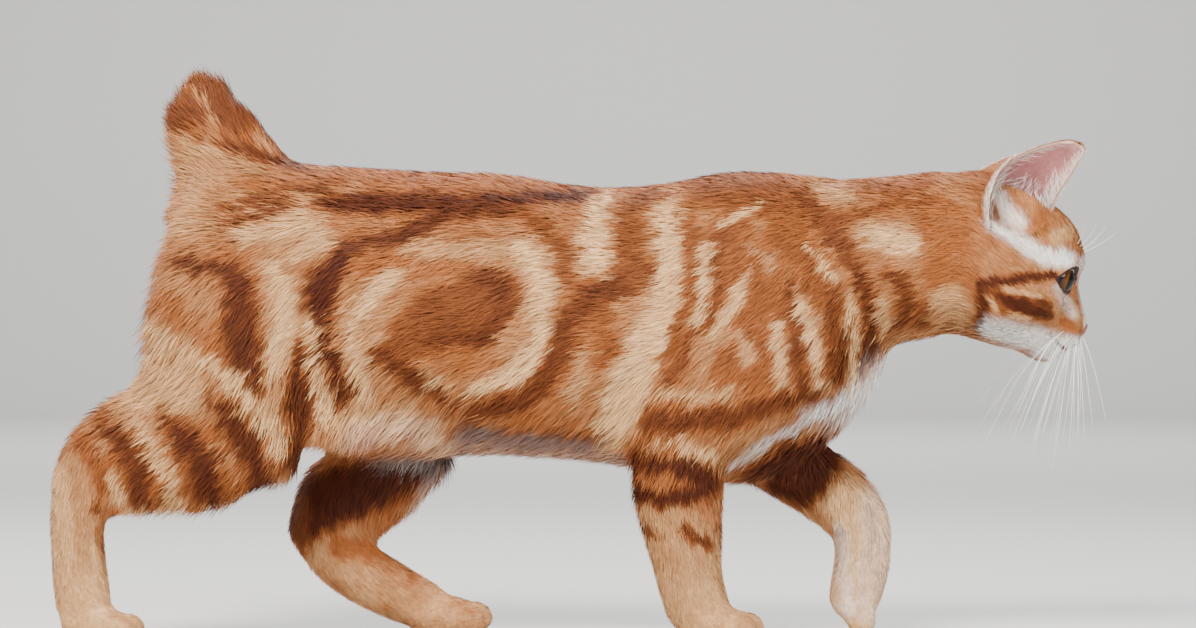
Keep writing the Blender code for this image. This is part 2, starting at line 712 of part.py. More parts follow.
def eye_opening(side, points=9):
    """The almond between the lids, as a block that runs out from the middle of the eye."""
    look = Vector((EYE_LOOK[0], side * EYE_LOOK[1], EYE_LOOK[2])).normalized()
    out = Vector((0.0, side, 0.0))
    out = (out - look * out.dot(look)).normalized()
    out.rotate(Matrix.Rotation(-side * EYE_TILT, 3, look))
    up = look.cross(out) * side
    half_width = EYE_OPENING[0] / 2
    outline = []
    for half_height, span in ((0.54, 1.0), (-0.46, -1.0)):
        for k in range(points):
            across = span * math.cos(math.pi * k / points)
            outline.append((across * half_width, half_height * EYE_OPENING[1] * (1 - across**2) ** 0.75))
    rings = []
    for reach, flare in ((0.002, 0.8), (EYE_RADIUS, 1.0), (0.024, 1.35)):
        rings.append([head_matrix() @ (Vector((EYE_PLACE[0], side * EYE_PLACE[1], EYE_PLACE[2]))
                                       + look * reach + (out * s + up * t) * flare) for s, t in outline])
    bm = bmesh.new()
    skin_rings(bm, rings)
    return cutter(new_object("opening", bm))


EAR_STATIONS = (
    # height, middle x, middle y, half width, depth of the cup, half of its arc in degrees
    (0.0120, -0.0120, 0.0310, 0.0130, 0.0150, 105.0),
    (0.0230, -0.0130, 0.0297, 0.0172, 0.0162, 100.0),
    (0.0360, -0.0130, 0.0276, 0.0188, 0.0142, 90.0),
    (0.0475, -0.0110, 0.0274, 0.0180, 0.0112, 80.0),
    (0.0575, -0.0065, 0.0284, 0.0148, 0.0080, 70.0),
    (0.0655, -0.0020, 0.0298, 0.0107, 0.0046, 62.0),
    (0.0697, 0.0010, 0.0306, 0.0079, 0.0026, 56.0),
    (0.0718, 0.0025, 0.0311, 0.0054, 0.0014, 50.0),
    (0.0729, 0.0032, 0.0313, 0.0026, 0.0006, 50.0),
)


def ear(name, side, across=10, steps=2):
    """A thin cup, open to the side and forward. Each row across it is an arc, flatter towards the tip."""
    faces = np.array((*EAR_FACES, 0.0))
    faces /= np.linalg.norm(faces)
    wide = np.array((faces[1], -faces[0], 0.0))
    bm = bmesh.new()
    rows = []
    for height, x, y, half_width, depth, degrees in smooth_between(EAR_STATIONS, steps):
        reach = math.radians(degrees)
        row = []
        for i in range(across + 1):
            turn = reach * (2 * i / across - 1)
            out = half_width * math.sin(turn) / math.sin(min(reach, math.pi / 2))
            back = depth * (math.cos(turn) - math.cos(reach)) / (1 - math.cos(reach))
            spot = np.array((x, y, height)) + wide * out - faces * back
            row.append(bm.verts.new(head_matrix() @ Vector((spot[0], side * spot[1], spot[2]))))
        rows.append(row)
    for low, high in zip(rows, rows[1:]):
        for i in range(across):
            bm.faces.new((low[i], low[i + 1], high[i + 1], high[i]))
    obj = new_object(name, bm)
    solidify = obj.modifiers.new("thick", "SOLIDIFY")
    solidify.thickness = EAR_THICKNESS
    solidify.offset = 0.0
    return settle(obj)


def grown(source, by):
    """A cutter a little larger than the source all round."""
    obj = cutter(duplicate(source, "grown"))
    displace = obj.modifiers.new("grow", "DISPLACE")
    displace.strength = by
    displace.mid_level = 0.0
    return settle(obj)


def nose_block(by=0.0):
    radii = tuple(r + by for r in NOSE_LEATHER[1])
    obj = cutter(ellipsoid("nose_block", NOSE_LEATHER[0], radii, 14))
    obj.data.transform(head_matrix())
    return obj


def make_head(flesh, coat, pink, amber, leather):
    fine = carve_head(flesh)
    head = thinned(fine, "head", HEAD_TRIANGLES)
    bpy.data.objects.remove(fine)
    boolean(head, "INTERSECT", ahead_of(HEAD_LINE, GAP))
    ears = []
    for side, label in ((1, "left"), (-1, "right")):
        cup = boolean(ear("ear_" + label, side), "INTERSECT", ahead_of(HEAD_LINE, GAP))
        ears.append(boolean(cup, "DIFFERENCE", grown(head, GAP)))
        boolean(head, "DIFFERENCE", cutter(eyeball("socket", side, EYE_RADIUS + GAP)), eye_opening(side))
        dress(eyeball("eye_" + label, side, EYE_RADIUS), amber)
    for obj in ears:
        largest_piece(obj)
        dress(obj, pink)
    nose = boolean(duplicate(head, "nose"), "INTERSECT", nose_block())
    largest_piece(nose)
    dress(nose, leather)
    boolean(head, "DIFFERENCE", nose_block(GAP))
    largest_piece(head)
    dress(head, coat)
    head.name = "head"


def main():
    clear_scene()
    coat = material("coat", COAT, 0.8)
    pale = material("pale_coat", PALE_COAT, 0.8)
    pink = material("ear_skin", EAR_PINK, 0.6)
    amber = material("eye", EYE_AMBER, 0.05)
    leather = material("nose_leather", NOSE_PINK, 0.45)
    forms = trunk_forms() + near_foreleg() + far_foreleg() + near_hind_leg() + far_hind_leg()
    forms += paws() + tail_form() + [rough_head()]
    flesh = blended(joined("flesh", forms))
    make_head(flesh, coat, pink, amber, leather)
    floor = prism("floor", ((BACK, DEEP), (FRONT, DEEP), (FRONT, 0.0), (BACK, 0.0)), -WIDE, WIDE)
    body = boolean(thinned(flesh, "body", FLESH_TRIANGLES), "DIFFERENCE", floor)
    part_body(body, coat, pale)
    for helper in (flesh, body):
        bpy.data.objects.remove(helper)


main()
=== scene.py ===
"""The Manx cat's looks: skin, coat, eyes, ears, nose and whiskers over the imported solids.

Metres, +Z up; the cat faces +X and its right side, towards -Y, is the one the camera sees.
"""

import math

import bmesh
import bpy
import numpy as np
from mathutils import Matrix, Vector
from mathutils.kdtree import KDTree
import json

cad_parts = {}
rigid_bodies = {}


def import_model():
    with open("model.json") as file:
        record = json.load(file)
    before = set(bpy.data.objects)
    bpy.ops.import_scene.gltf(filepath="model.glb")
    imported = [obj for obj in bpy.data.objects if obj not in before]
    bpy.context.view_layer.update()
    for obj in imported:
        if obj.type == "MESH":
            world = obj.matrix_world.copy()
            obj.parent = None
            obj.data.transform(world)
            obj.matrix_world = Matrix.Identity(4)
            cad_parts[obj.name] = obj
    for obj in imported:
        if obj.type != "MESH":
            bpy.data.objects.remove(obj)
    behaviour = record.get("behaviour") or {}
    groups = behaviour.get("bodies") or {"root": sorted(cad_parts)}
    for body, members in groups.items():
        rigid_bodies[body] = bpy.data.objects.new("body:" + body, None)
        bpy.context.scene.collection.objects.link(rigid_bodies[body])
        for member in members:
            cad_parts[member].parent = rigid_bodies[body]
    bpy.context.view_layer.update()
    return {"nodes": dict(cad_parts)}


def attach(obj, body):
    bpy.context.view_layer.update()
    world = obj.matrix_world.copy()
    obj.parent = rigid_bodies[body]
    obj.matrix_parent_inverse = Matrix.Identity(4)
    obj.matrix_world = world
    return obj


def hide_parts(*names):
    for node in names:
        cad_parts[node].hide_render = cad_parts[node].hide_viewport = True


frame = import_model()
scene = bpy.context.scene
rng = np.random.default_rng(11)

# Camera: the photo's pixel in metres at the cat's middle plane, and where its middle lies
PIXEL = 0.53e-3
FRAME_WIDTH, FRAME_HEIGHT = 1196, 628
SENSOR = 36.0
CAMERA_WAY = 2.4
CAMERA_X = (598 - 569) * PIXEL
CAMERA_Z = (640 - 314) * PIXEL

# Head, as in the solids
HEAD_CENTRE = (0.2320, 0.0060, 0.1955)
HEAD_PITCH, HEAD_YAW, HEAD_ROLL = math.radians(24), math.radians(7), math.radians(3)
HEAD_LINE = ((0.2030, 0.360), (0.2050, 0.250), (0.2160, 0.150), (0.225, 0.060))
FACE_FADE = 0.012
EYE_RADIUS = 0.0105
EYE_PLACE = (0.0215, 0.0175, 0.0050)
EYE_LOOK = (0.84, 0.53, 0.06)
LID_THICKNESS = 0.0017
EYE_OPENING = (0.0200, 0.0140)
EYE_TILT = math.radians(11)
UPPER_LID, LOWER_LID = 0.50, 0.46
LID_RISE, EYE_REACH, EYE_DEPTH = 0.0012, 0.0165, 0.0020
LID_RIM_RADIUS = 0.00055
CORNEA_FROM, CORNEA_RISE = 0.62, 0.055
IRIS_LOOK = (0.88, 0.47, 0.03)
IRIS_RADIUS = 0.0088
PUPIL_RADII = (0.0052, 0.0066)
EAR_FACES = (0.36, 0.93)

# Middle, half sizes and softness of each mass of the head, in the head's own frame
HEAD_MASSES = {
    "cranium": ((-0.0100, 0.0, 0.0095), (0.0380, 0.0335, 0.0335), 0.004),
    "forehead": ((0.0105, 0.0, 0.0185), (0.0245, 0.0225, 0.0215), 0.012),
    "temple": ((0.0030, 0.0170, 0.0140), (0.0265, 0.0175, 0.0200), 0.010),
    "cheek": ((-0.0020, 0.0210, -0.0125), (0.0270, 0.0200, 0.0225), 0.012),
    "cheekbone": ((0.0150, 0.0195, -0.0080), (0.0175, 0.0125, 0.0130), 0.010),
    "jaw": ((0.0110, 0.0, -0.0245), (0.0280, 0.0205, 0.0130), 0.012),
    "maxilla": ((0.0270, 0.0085, -0.0115), (0.0160, 0.0115, 0.0120), 0.012),
    "muzzle": ((0.0340, 0.0, -0.0150), (0.0145, 0.0140, 0.0110), 0.010),
    "brow": ((0.0225, 0.0110, 0.0160), (0.0115, 0.0115, 0.0070), 0.009),
    "whisker_pad": ((0.0392, 0.0080, -0.0185), (0.0100, 0.0092, 0.0075), 0.006),
    "chin": ((0.0345, 0.0, -0.0290), (0.0085, 0.0085, 0.0068), 0.009),
}
NOSE_BRIDGE = ((0.0240, 0.0, 0.0090), (0.0425, 0.0, -0.0085), 0.0115, 0.0072)
NECK_ROOT = ((-0.0200, 0.0, 0.0020), (-0.0700, 0.0, -0.0250), 0.0430, 0.0440)
NECK_FLATNESS = 1.20
SOCKET = ((0.0345, 0.0200, 0.0030), (0.0080, 0.0070, 0.0080))
EAR_HOLLOW = ((-0.0105, 0.0300, 0.0290), (0.0120, 0.0090, 0.0130))
NOSE_PAD = ((0.0470, 0.0, -0.0108), (0.0046, 0.0060, 0.0048))
NOSE_WING = ((0.0470, 0.0042, -0.0126), (0.0036, 0.0030, 0.0030))
NOSE_TIP = np.array((0.0515, 0.0, -0.0120))
BARE_NOSE = ((0.0500, 0.0, -0.0118), (0.0050, 0.0066, 0.0046))
NOSTRIL = ((0.0505, 0.0030, -0.0136), (0.0462, 0.0066, -0.0126), 0.0013, 0.0008)
HEAD_SEED = np.array((0.004, 0.0, -0.002))
MOUTH = (
    (0.0500, 0.0000, -0.0165), (0.0495, 0.0000, -0.0225), (0.0475, 0.0042, -0.0252),
    (0.0430, 0.0092, -0.0258), (0.0370, 0.0135, -0.0248), (0.0300, 0.0172, -0.0225),
)
# The groove between the lips and their rise beside it, the half width of the bare line and where it begins
LIP_DEPTH, LIP_WIDTH, LIP_RISE = 0.0014, 0.0008, 0.0004
MOUTH_EDGE, MOUTH_FROM = (0.0008, 0.0016), (0.0350, 0.0405)
EAR_STATIONS = (
    # height, middle x, middle y, half width, depth of the cup, half of its arc in degrees
    (0.0120, -0.0120, 0.0310, 0.0130, 0.0150, 105.0),
    (0.0230, -0.0130, 0.0297, 0.0172, 0.0162, 100.0),
    (0.0360, -0.0130, 0.0276, 0.0188, 0.0142, 90.0),
    (0.0475, -0.0110, 0.0274, 0.0180, 0.0112, 80.0),
    (0.0575, -0.0065, 0.0284, 0.0148, 0.0080, 70.0),
    (0.0655, -0.0020, 0.0298, 0.0107, 0.0046, 62.0),
    (0.0697, 0.0010, 0.0306, 0.0079, 0.0026, 56.0),
    (0.0718, 0.0025, 0.0311, 0.0054, 0.0014, 50.0),
    (0.0729, 0.0032, 0.0313, 0.0026, 0.0006, 50.0),
)

# Root of the ear's hair off its middle surface, and half its thickness at the rim and further in
EAR_HAIR_ROOT = 0.0007
EAR_THIN, EAR_THICKER = 0.00030, 0.00060

# Fineness
EAR_COLUMNS, EAR_STEPS = 36, 6
VOXEL = 0.0020
# Closes the seams between the solids before they are joined
SKIN_SWELL = 0.00022
HEAD_CUTS = 2
FACE_CUTS = 1
TUFTS = 440000
EAR_BACK_TUFTS, EAR_INNER_TUFTS = 9000, 1700
MOST_IN_PIECE = 64000

# Tufts: how far their length and their slant vary, and how far their faces turn round them
LENGTH_SPREAD, LIFT_SPREAD, FACE_SPIN = (0.72, 1.18), (0.55, 1.35), 0.9
# Each tuft is widest at its middle: place along it and share of its width
TUFT_STATIONS = ((0.0, 0.75), (0.50, 1.0))
# Its colour at the root, middle and tip, as painted shade: darker at the root, deep in the coat, and a little
# lighter at the tip
TUFT_PAINTED_SHADES = (0.84, 0.84, 0.99, 0.99, 1.05)
# Half the size of its place on the unwrap, and how deep its root is in the skin
TUFT_PATCH, TUFT_ROOT = 0.0015, 0.0003
# Locks: how many there are for each tuft, how strongly they draw their tufts in and how far they reach
LOCK_SHARE, LOCK_PULL, LOCK_REACH = 0.10, 0.42, (0.0035, 0.0050)
# How far each anchor of the coat reaches, and how deep the skin lies under the coat's outline
ANCHOR_REACH, SKIN_DEPTH = 0.0055, 0.52
# Tufts grow where the skin is less bare than this
MOST_BARE = 0.35


def ramp(low, high, value):
    """0 below low, 1 above high, smooth between."""
    t = np.clip((value - low) / (high - low), 0.0, 1.0)
    return t * t * (3 - 2 * t)


def band(low, low_full, high_full, high, value):
    """1 between low_full and high_full, 0 outside low and high, smooth between."""
    return ramp(low, low_full, value) * (1 - ramp(high_full, high, value))


def blend(first, second, share):
    """The first, giving way to the second as share goes from 0 to 1."""
    return first * (1 - share) + second * share


def unit(rows):
    """The rows, each at length 1."""
    return rows / np.maximum(np.linalg.norm(rows, axis=-1, keepdims=True), 1e-12)


def noise(points, scale, seed):
    """Smooth random numbers from -1 to 1 that change over the distance scale."""
    q = points / scale + 1000.0
    base = np.floor(q).astype(np.int64)
    t = q - base
    t = t * t * (3 - 2 * t)
    total = np.zeros(len(points))
    for corner in np.ndindex(2, 2, 2):
        cell = base + corner
        mixed = (cell[:, 0] * 73856093) ^ (cell[:, 1] * 19349663) ^ (cell[:, 2] * 83492791)
        mixed ^= seed * 49979687
        mixed = (mixed ^ (mixed >> 13)) * 1274126177 & 0x7FFFFFFF
        weight = np.prod(np.where(np.array(corner) == 1, t, 1 - t), axis=1)
        total += weight * ((mixed % 10007) / 5003.0 - 1.0)
    return total


def noise_pair(points, scale, seed):
    """Two such numbers for each point."""
    return np.stack([noise(points, scale, seed), noise(points, scale, seed + 1)], 1)


def near_side(points):
    """The points, with those of the far side mirrored to the near one."""
    found = points.copy()
    found[:, 1] = -np.abs(found[:, 1])
    return found


def egg_distance(points, middle, radii):
    """Roughly how far each point lies outside an ellipsoid."""
    scaled = (points - middle) / radii
    reach = np.linalg.norm(scaled, axis=1)
    slope = np.linalg.norm(scaled / radii, axis=1) + 1e-9
    return reach * (reach - 1.0) / slope


def cone_distance(points, start, end, start_radius, end_radius):
    """How far each point lies outside a round cone with round ends."""
    start = np.array(start)
    along = np.array(end) - start
    t = np.clip((points - start) @ along / (along @ along), 0.0, 1.0)
    radius = start_radius + (end_radius - start_radius) * t
    return np.linalg.norm(points - start - t[:, None] * along, axis=1) - radius


def melt(first, second, softness):
    """The distance to both shapes joined, with the crease between them filled over softness."""
    share = np.clip(0.5 + 0.5 * (second - first) / softness, 0.0, 1.0)
    return second * (1 - share) + first * share - softness * share * (1 - share)


def hollow(first, second, softness):
    """The distance to the first shape with the second cut out of it, softly."""
    return -melt(-first, second, softness)


def head_distance(points):
    """How far each point of the head's own frame lies outside the head."""
    near = points.copy()
    near[:, 1] = np.abs(near[:, 1])
    found = cone_distance(near * (1.0, NECK_FLATNESS, 1.0), *NECK_ROOT)
    for middle, radii, softness in HEAD_MASSES.values():
        found = melt(found, egg_distance(near, middle, radii), softness)
    found = melt(found, cone_distance(near, *NOSE_BRIDGE), 0.008)
    found = hollow(found, egg_distance(near, *SOCKET), 0.008)
    found = hollow(found, egg_distance(near, *EAR_HOLLOW), 0.006)
    lids = np.linalg.norm(near - EYE_PLACE, axis=1) - EYE_RADIUS - LID_THICKNESS
    found = melt(found, lids, 0.0035)
    found = melt(found, egg_distance(near, *NOSE_PAD), 0.003)
    found = melt(found, egg_distance(near, *NOSE_WING), 0.0015)
    return hollow(found, cone_distance(near, *NOSTRIL), 0.0008)


def line_distance(lines, path):
    """How far off a path on both sides of the head each unit line from its seed passes, as an angle."""
    mirrored = np.stack([lines[:, 0], np.abs(lines[:, 1]), lines[:, 2]], 1)
    stops = unit(np.array(path) - HEAD_SEED)
    off = np.full(len(lines), 9.0)
    for start, end in zip(stops, stops[1:]):
        off = np.minimum(off, cone_distance(mirrored, start, end, 0.0, 0.0))
    return off


def on_head(points):
    """Where the lines from the head's seed through the points meet its surface, with the mouth cut in."""
    lines = unit(points - HEAD_SEED)
    reach = np.full(len(lines), 0.125)
    for _ in range(60):
        reach = np.maximum(reach - 0.75 * head_distance(HEAD_SEED + lines * reach[:, None]), 0.004)
    off = line_distance(lines, MOUTH) * reach
    reach -= LIP_DEPTH * np.exp(-((off / LIP_WIDTH) ** 2))
    reach += LIP_RISE * np.exp(-(((off - 2.2 * LIP_WIDTH) / LIP_WIDTH) ** 2))
    return HEAD_SEED + lines * reach[:, None]


HEAD_MATRIX = (
    Matrix.Translation(HEAD_CENTRE)
    @ Matrix.Rotation(HEAD_YAW, 4, "Z")
    @ Matrix.Rotation(HEAD_PITCH, 4, "Y")
    @ Matrix.Rotation(-HEAD_ROLL, 4, "X")
)
TO_CAT = np.array(HEAD_MATRIX)
FROM_CAT = np.linalg.inv(TO_CAT)


def to_cat(points):
    """From the head's own frame to the cat's."""
    return points @ TO_CAT[:3, :3].T + TO_CAT[:3, 3]


def to_head(points):
    """From the cat's frame to the head's own."""
    return points @ FROM_CAT[:3, :3].T + FROM_CAT[:3, 3]


def add_object(name, data):
    """A new object in the scene, of a mesh, a lamp or a camera."""
    obj = bpy.data.objects.new(name, data)
    scene.collection.objects.link(obj)
    return obj


def new_object(name, bm, smooth=True):
    """An object from the mesh in work, which ends here."""
    mesh = bpy.data.meshes.new(name)
    bm.to_mesh(mesh)
    bm.free()
    if smooth:
        mesh.shade_smooth()
    return add_object(name, mesh)


def mesh_object(name, points, faces):
    """An object from an array of points and a list of arrays of faces, each with its own count of corners."""
    mesh = bpy.data.meshes.new(name)
    corners = np.concatenate([f.ravel() for f in faces])
    sizes = np.concatenate([np.full(len(f), f.shape[1]) for f in faces])
    mesh.vertices.add(len(points))
    mesh.vertices.foreach_set("co", np.asarray(points, np.float32).ravel())
    mesh.loops.add(len(corners))
    mesh.loops.foreach_set("vertex_index", corners.astype(np.int32))
    mesh.polygons.add(len(sizes))
    mesh.polygons.foreach_set("loop_start", (np.cumsum(sizes) - sizes).astype(np.int32))
    mesh.polygons.foreach_set("loop_total", sizes.astype(np.int32))
    mesh.update(calc_edges=True)
    mesh.shade_smooth()
    return add_object(name, mesh)


def settle(obj):
    """Makes the object's modifiers part of its mesh."""
    bpy.context.view_layer.update()
    graph = bpy.context.evaluated_depsgraph_get()
    mesh = bpy.data.meshes.new_from_object(obj.evaluated_get(graph))
    obj.modifiers.clear()
    old = obj.data
    obj.data = mesh
    bpy.data.meshes.remove(old)


def read(rows, key, width, kind=np.float32):
    """A table of what all the mesh's points, corners or triangles have under this key."""
    flat = np.empty(width * len(rows), kind)
    rows.foreach_get(key, flat)
    return flat.reshape(-1, width)


def points_of(obj):
    """The places of the mesh's points."""
    return read(obj.data.vertices, "co", 3).astype(float)


def normals_of(obj):
    """The normals at the mesh's points."""
    return read(obj.data.vertex_normals, "vector", 3).astype(float)


def set_points(obj, points):
    """Moves the mesh's points to new places."""
    obj.data.vertices.foreach_set("co", np.asarray(points, np.float32).ravel())
    obj.data.update()


def paint(obj, colours):
    """Stores a colour for each point of the mesh."""
    layer = obj.data.color_attributes.new("Colour", "FLOAT_COLOR", "POINT")
    rgba = np.ones((len(colours), 4), np.float32)
    rgba[:, :3] = colours
    layer.data.foreach_set("color", rgba.ravel())


def unwrap(obj, places):
    """Stores for baking the place of each point of the mesh on the piece's unwrap."""
    corners = read(obj.data.loops, "vertex_index", 1, np.int32)[:, 0]
    layer = obj.data.uv_layers.new(name="OFBake")
    layer.data.foreach_set("uv", places[corners].astype(np.float32).ravel())


# The coat: at each anchor the hair's direction in side view, its length and how steeply it rises.
# Anchors off the middle plane are on both sides.
COAT = (
    # x, y, z, direction x, direction z, length, lift
    (0.185, 0.000, 0.245, -1.00, -0.05, 0.0085, 0.45),
    (0.190, 0.038, 0.200, -0.95, -0.30, 0.0095, 0.50),
    (0.200, 0.000, 0.160, -0.90, -0.40, 0.0100, 0.55),
    (0.170, 0.000, 0.135, -0.50, -0.85, 0.0130, 0.65),
    (0.130, 0.000, 0.095, -0.85, -0.50, 0.0130, 0.65),
    (0.100, 0.000, 0.248, -1.00, -0.05, 0.0100, 0.40),
    (0.115, 0.050, 0.185, -0.75, -0.65, 0.0100, 0.45),
    (0.085, 0.052, 0.135, -0.60, -0.80, 0.0105, 0.50),
    (0.045, 0.050, 0.105, -0.40, -0.90, 0.0110, 0.60),
    (0.000, 0.000, 0.243, -1.00, 0.02, 0.0110, 0.42),
    (-0.100, 0.000, 0.250, -1.00, 0.00, 0.0115, 0.42),
    (0.030, 0.056, 0.170, -0.97, -0.25, 0.0115, 0.45),
    (-0.070, 0.053, 0.170, -0.96, -0.30, 0.0120, 0.45),
    (0.030, 0.042, 0.110, -0.80, -0.60, 0.0145, 0.60),
    (-0.080, 0.040, 0.112, -0.62, -0.78, 0.0165, 0.70),
    (0.030, 0.000, 0.092, -0.90, -0.45, 0.0140, 0.75),
    (-0.080, 0.000, 0.098, -0.80, -0.60, 0.0170, 0.80),
    (-0.170, 0.020, 0.245, -1.00, -0.10, 0.0115, 0.45),
    (-0.208, 0.000, 0.205, -0.60, -0.80, 0.0170, 1.00),
    (-0.145, 0.050, 0.190, -0.80, -0.60, 0.0120, 0.45),
    (-0.182, 0.020, 0.250, -0.70, 0.60, 0.0120, 0.50),
    (-0.200, 0.008, 0.240, -0.90, 0.10, 0.0150, 0.75),
    (-0.208, 0.004, 0.266, -0.85, 0.50, 0.0150, 0.60),
    (-0.192, 0.006, 0.288, -0.40, 0.95, 0.0150, 0.60),
    (-0.168, 0.012, 0.268, -0.50, 0.85, 0.0120, 0.45),
    # near hind leg
    (-0.180, -0.056, 0.170, -0.60, -0.80, 0.0125, 0.50),
    (-0.222, -0.036, 0.160, -0.60, -0.80, 0.0175, 1.05),
    (-0.140, -0.052, 0.120, -0.40, -0.90, 0.0135, 0.60),
    (-0.200, -0.052, 0.105, -0.80, -0.60, 0.0110, 0.55),
    (-0.190, -0.036, 0.072, -0.60, -0.80, 0.0140, 0.95),
    (-0.232, -0.036, 0.128, -0.80, -0.55, 0.0110, 0.70),
    (-0.258, -0.033, 0.085, -0.20, -0.95, 0.0065, 0.50),
    (-0.257, -0.032, 0.050, 0.00, -1.00, 0.0055, 0.45),
    (-0.245, -0.030, 0.014, 0.90, -0.40, 0.0026, 0.32),
    # far hind leg
    (-0.120, 0.055, 0.150, -0.20, -0.95, 0.0125, 0.50),
    (-0.080, 0.045, 0.105, -0.40, -0.90, 0.0120, 0.60),
    (-0.110, 0.046, 0.085, -0.70, -0.70, 0.0100, 0.55),
    (-0.145, 0.031, 0.056, 0.20, -0.95, 0.0065, 0.50),
    (-0.115, 0.030, 0.038, 0.80, -0.60, 0.0055, 0.45),
    (-0.062, 0.030, 0.010, 1.00, -0.15, 0.0026, 0.32),
    # near foreleg
    (0.058, -0.045, 0.070, 0.05, -1.00, 0.0085, 0.50),
    (0.060, -0.040, 0.045, 0.10, -1.00, 0.0065, 0.45),
    (0.066, -0.030, 0.025, 0.30, -0.95, 0.0050, 0.45),
    (0.085, -0.028, 0.010, 1.00, -0.30, 0.0026, 0.32),
    # far foreleg
    (0.118, 0.050, 0.120, 0.10, -1.00, 0.0100, 0.50),
    (0.128, 0.042, 0.088, 0.75, -0.65, 0.0085, 0.50),
    (0.156, 0.036, 0.055, 0.00, -1.00, 0.0060, 0.45),
    (0.155, 0.030, 0.012, 0.10, -1.00, 0.0026, 0.32),
)


def coat_at(points):
    """The coat at each place: direction, length and lift."""
    total = np.zeros(len(points))
    way = np.zeros((len(points), 3))
    length = np.zeros(len(points))
    lift = np.zeros(len(points))
    one_sided = False
    for x, y, z, along_x, along_z, hair, rise in COAT:
        one_sided = one_sided or y < 0
        sides = (1.0,) if one_sided or y == 0 else (1.0, -1.0)
        for side in sides:
            away = np.sum((points - (x, side * y, z)) ** 2, axis=1)
            weight = 1.0 / (away + ANCHOR_REACH**2) ** 2
            total += weight
            way += weight[:, None] * np.array((along_x, 0.0, along_z))
            length += weight * hair
            lift += weight * rise
    way, length, lift = unit(way), length / total, lift / total
    # On the head the hair runs back from the nose, and grows longer
    own = to_head(points)
    share = ramp(-0.050, -0.015, own[:, 0]) * ramp(0.200, 0.215, points[:, 0])
    from_nose = own - NOSE_TIP
    far = np.linalg.norm(from_nose, axis=1)
    back = unit(from_nose + (0.0, 0.0, 0.006)) @ TO_CAT[:3, :3].T
    way = unit(way * (1 - share[:, None]) + back * share[:, None])
    eye = own - (EYE_PLACE[0], 0.0, EYE_PLACE[2])
    eye[:, 1] = np.abs(own[:, 1]) - EYE_PLACE[1]
    by_eye = ramp(0.011, 0.020, np.linalg.norm(eye, axis=1))
    face_length = np.clip(0.0008 + 0.085 * far, 0.0010, 0.0085) * (0.45 + 0.55 * by_eye)
    length = length * (1 - share) + face_length * share
    lift = lift * (1 - share) + 0.40 * share
    return way, length, lift


def depth_at(length, lift):
    """How far the skin lies under the coat's outline."""
    return SKIN_DEPTH * length * lift


# Colours, linear
CREAM = np.array((0.800, 0.490, 0.230))
ORANGE = np.array((0.340, 0.100, 0.024))
RUST = np.array((0.072, 0.0140, 0.0045))
WHITE = np.array((0.930, 0.890, 0.840))
PINK = np.array((0.420, 0.150, 0.145))
LINER = np.array((0.030, 0.012, 0.010))
EAR_RIM = np.array((0.75, 0.52, 0.42))

# Tones, from 0, cream, to 1, rust
GROUND_TONE, PAW_TONE, SPINE_TONE = 0.42, 0.16, 0.84
# Painted shade: the far hind foot is darker than the near one, as it lies in shadow
FAR_FOOT_PAINTED_SHADE, HIND_FEET_TO = 0.16, -0.03
# Where the face's own hair and markings take over, along the head's own x and along the cat's
FACE_FROM, HEAD_FROM = (-0.045, -0.020), (0.205, 0.218)
# The legs' own markings, with painted shade on the far legs: how far from the middle they begin on each side,
# over what way, and up to where
NEAR_INNER, FAR_INNER, INNER_FADE, LEGS_TOP = 0.008, 0.000, 0.011, 0.145
PALE_FEET = (0.020, 0.060)
# Areas of the trunk, alike on both sides: its ends along x, its half width and its heights
SPINE_STRIPE = ((-0.20, -0.17, 0.09, 0.12), (0.003, 0.0065), (0.222, 0.236, 1.0, 2.0))
PALE_BELLY = ((-0.115, -0.090, 0.066, 0.088), (0.018, 0.040), (0.088, 0.094, 0.088, 0.105))
WHITE_CHEST = ((0.114, 0.136, 1.0, 2.0), (0.012, 0.030), (0.111, 0.122, 0.135, 0.158))

MARK_SOFTNESS, WHITE_SOFTNESS = 0.42, 0.60
# The skin under the coat against the coat's colour, darkened as painted shade under the coat, and the bare
# skin and the pads against their own colours
UNDERCOAT_PAINTED_SHADE, BARE_SHADE, PAD_SHADE = 0.84, 0.42, 0.55
PADS_TOP, LINER_MARGIN = 0.0035, 0.0006
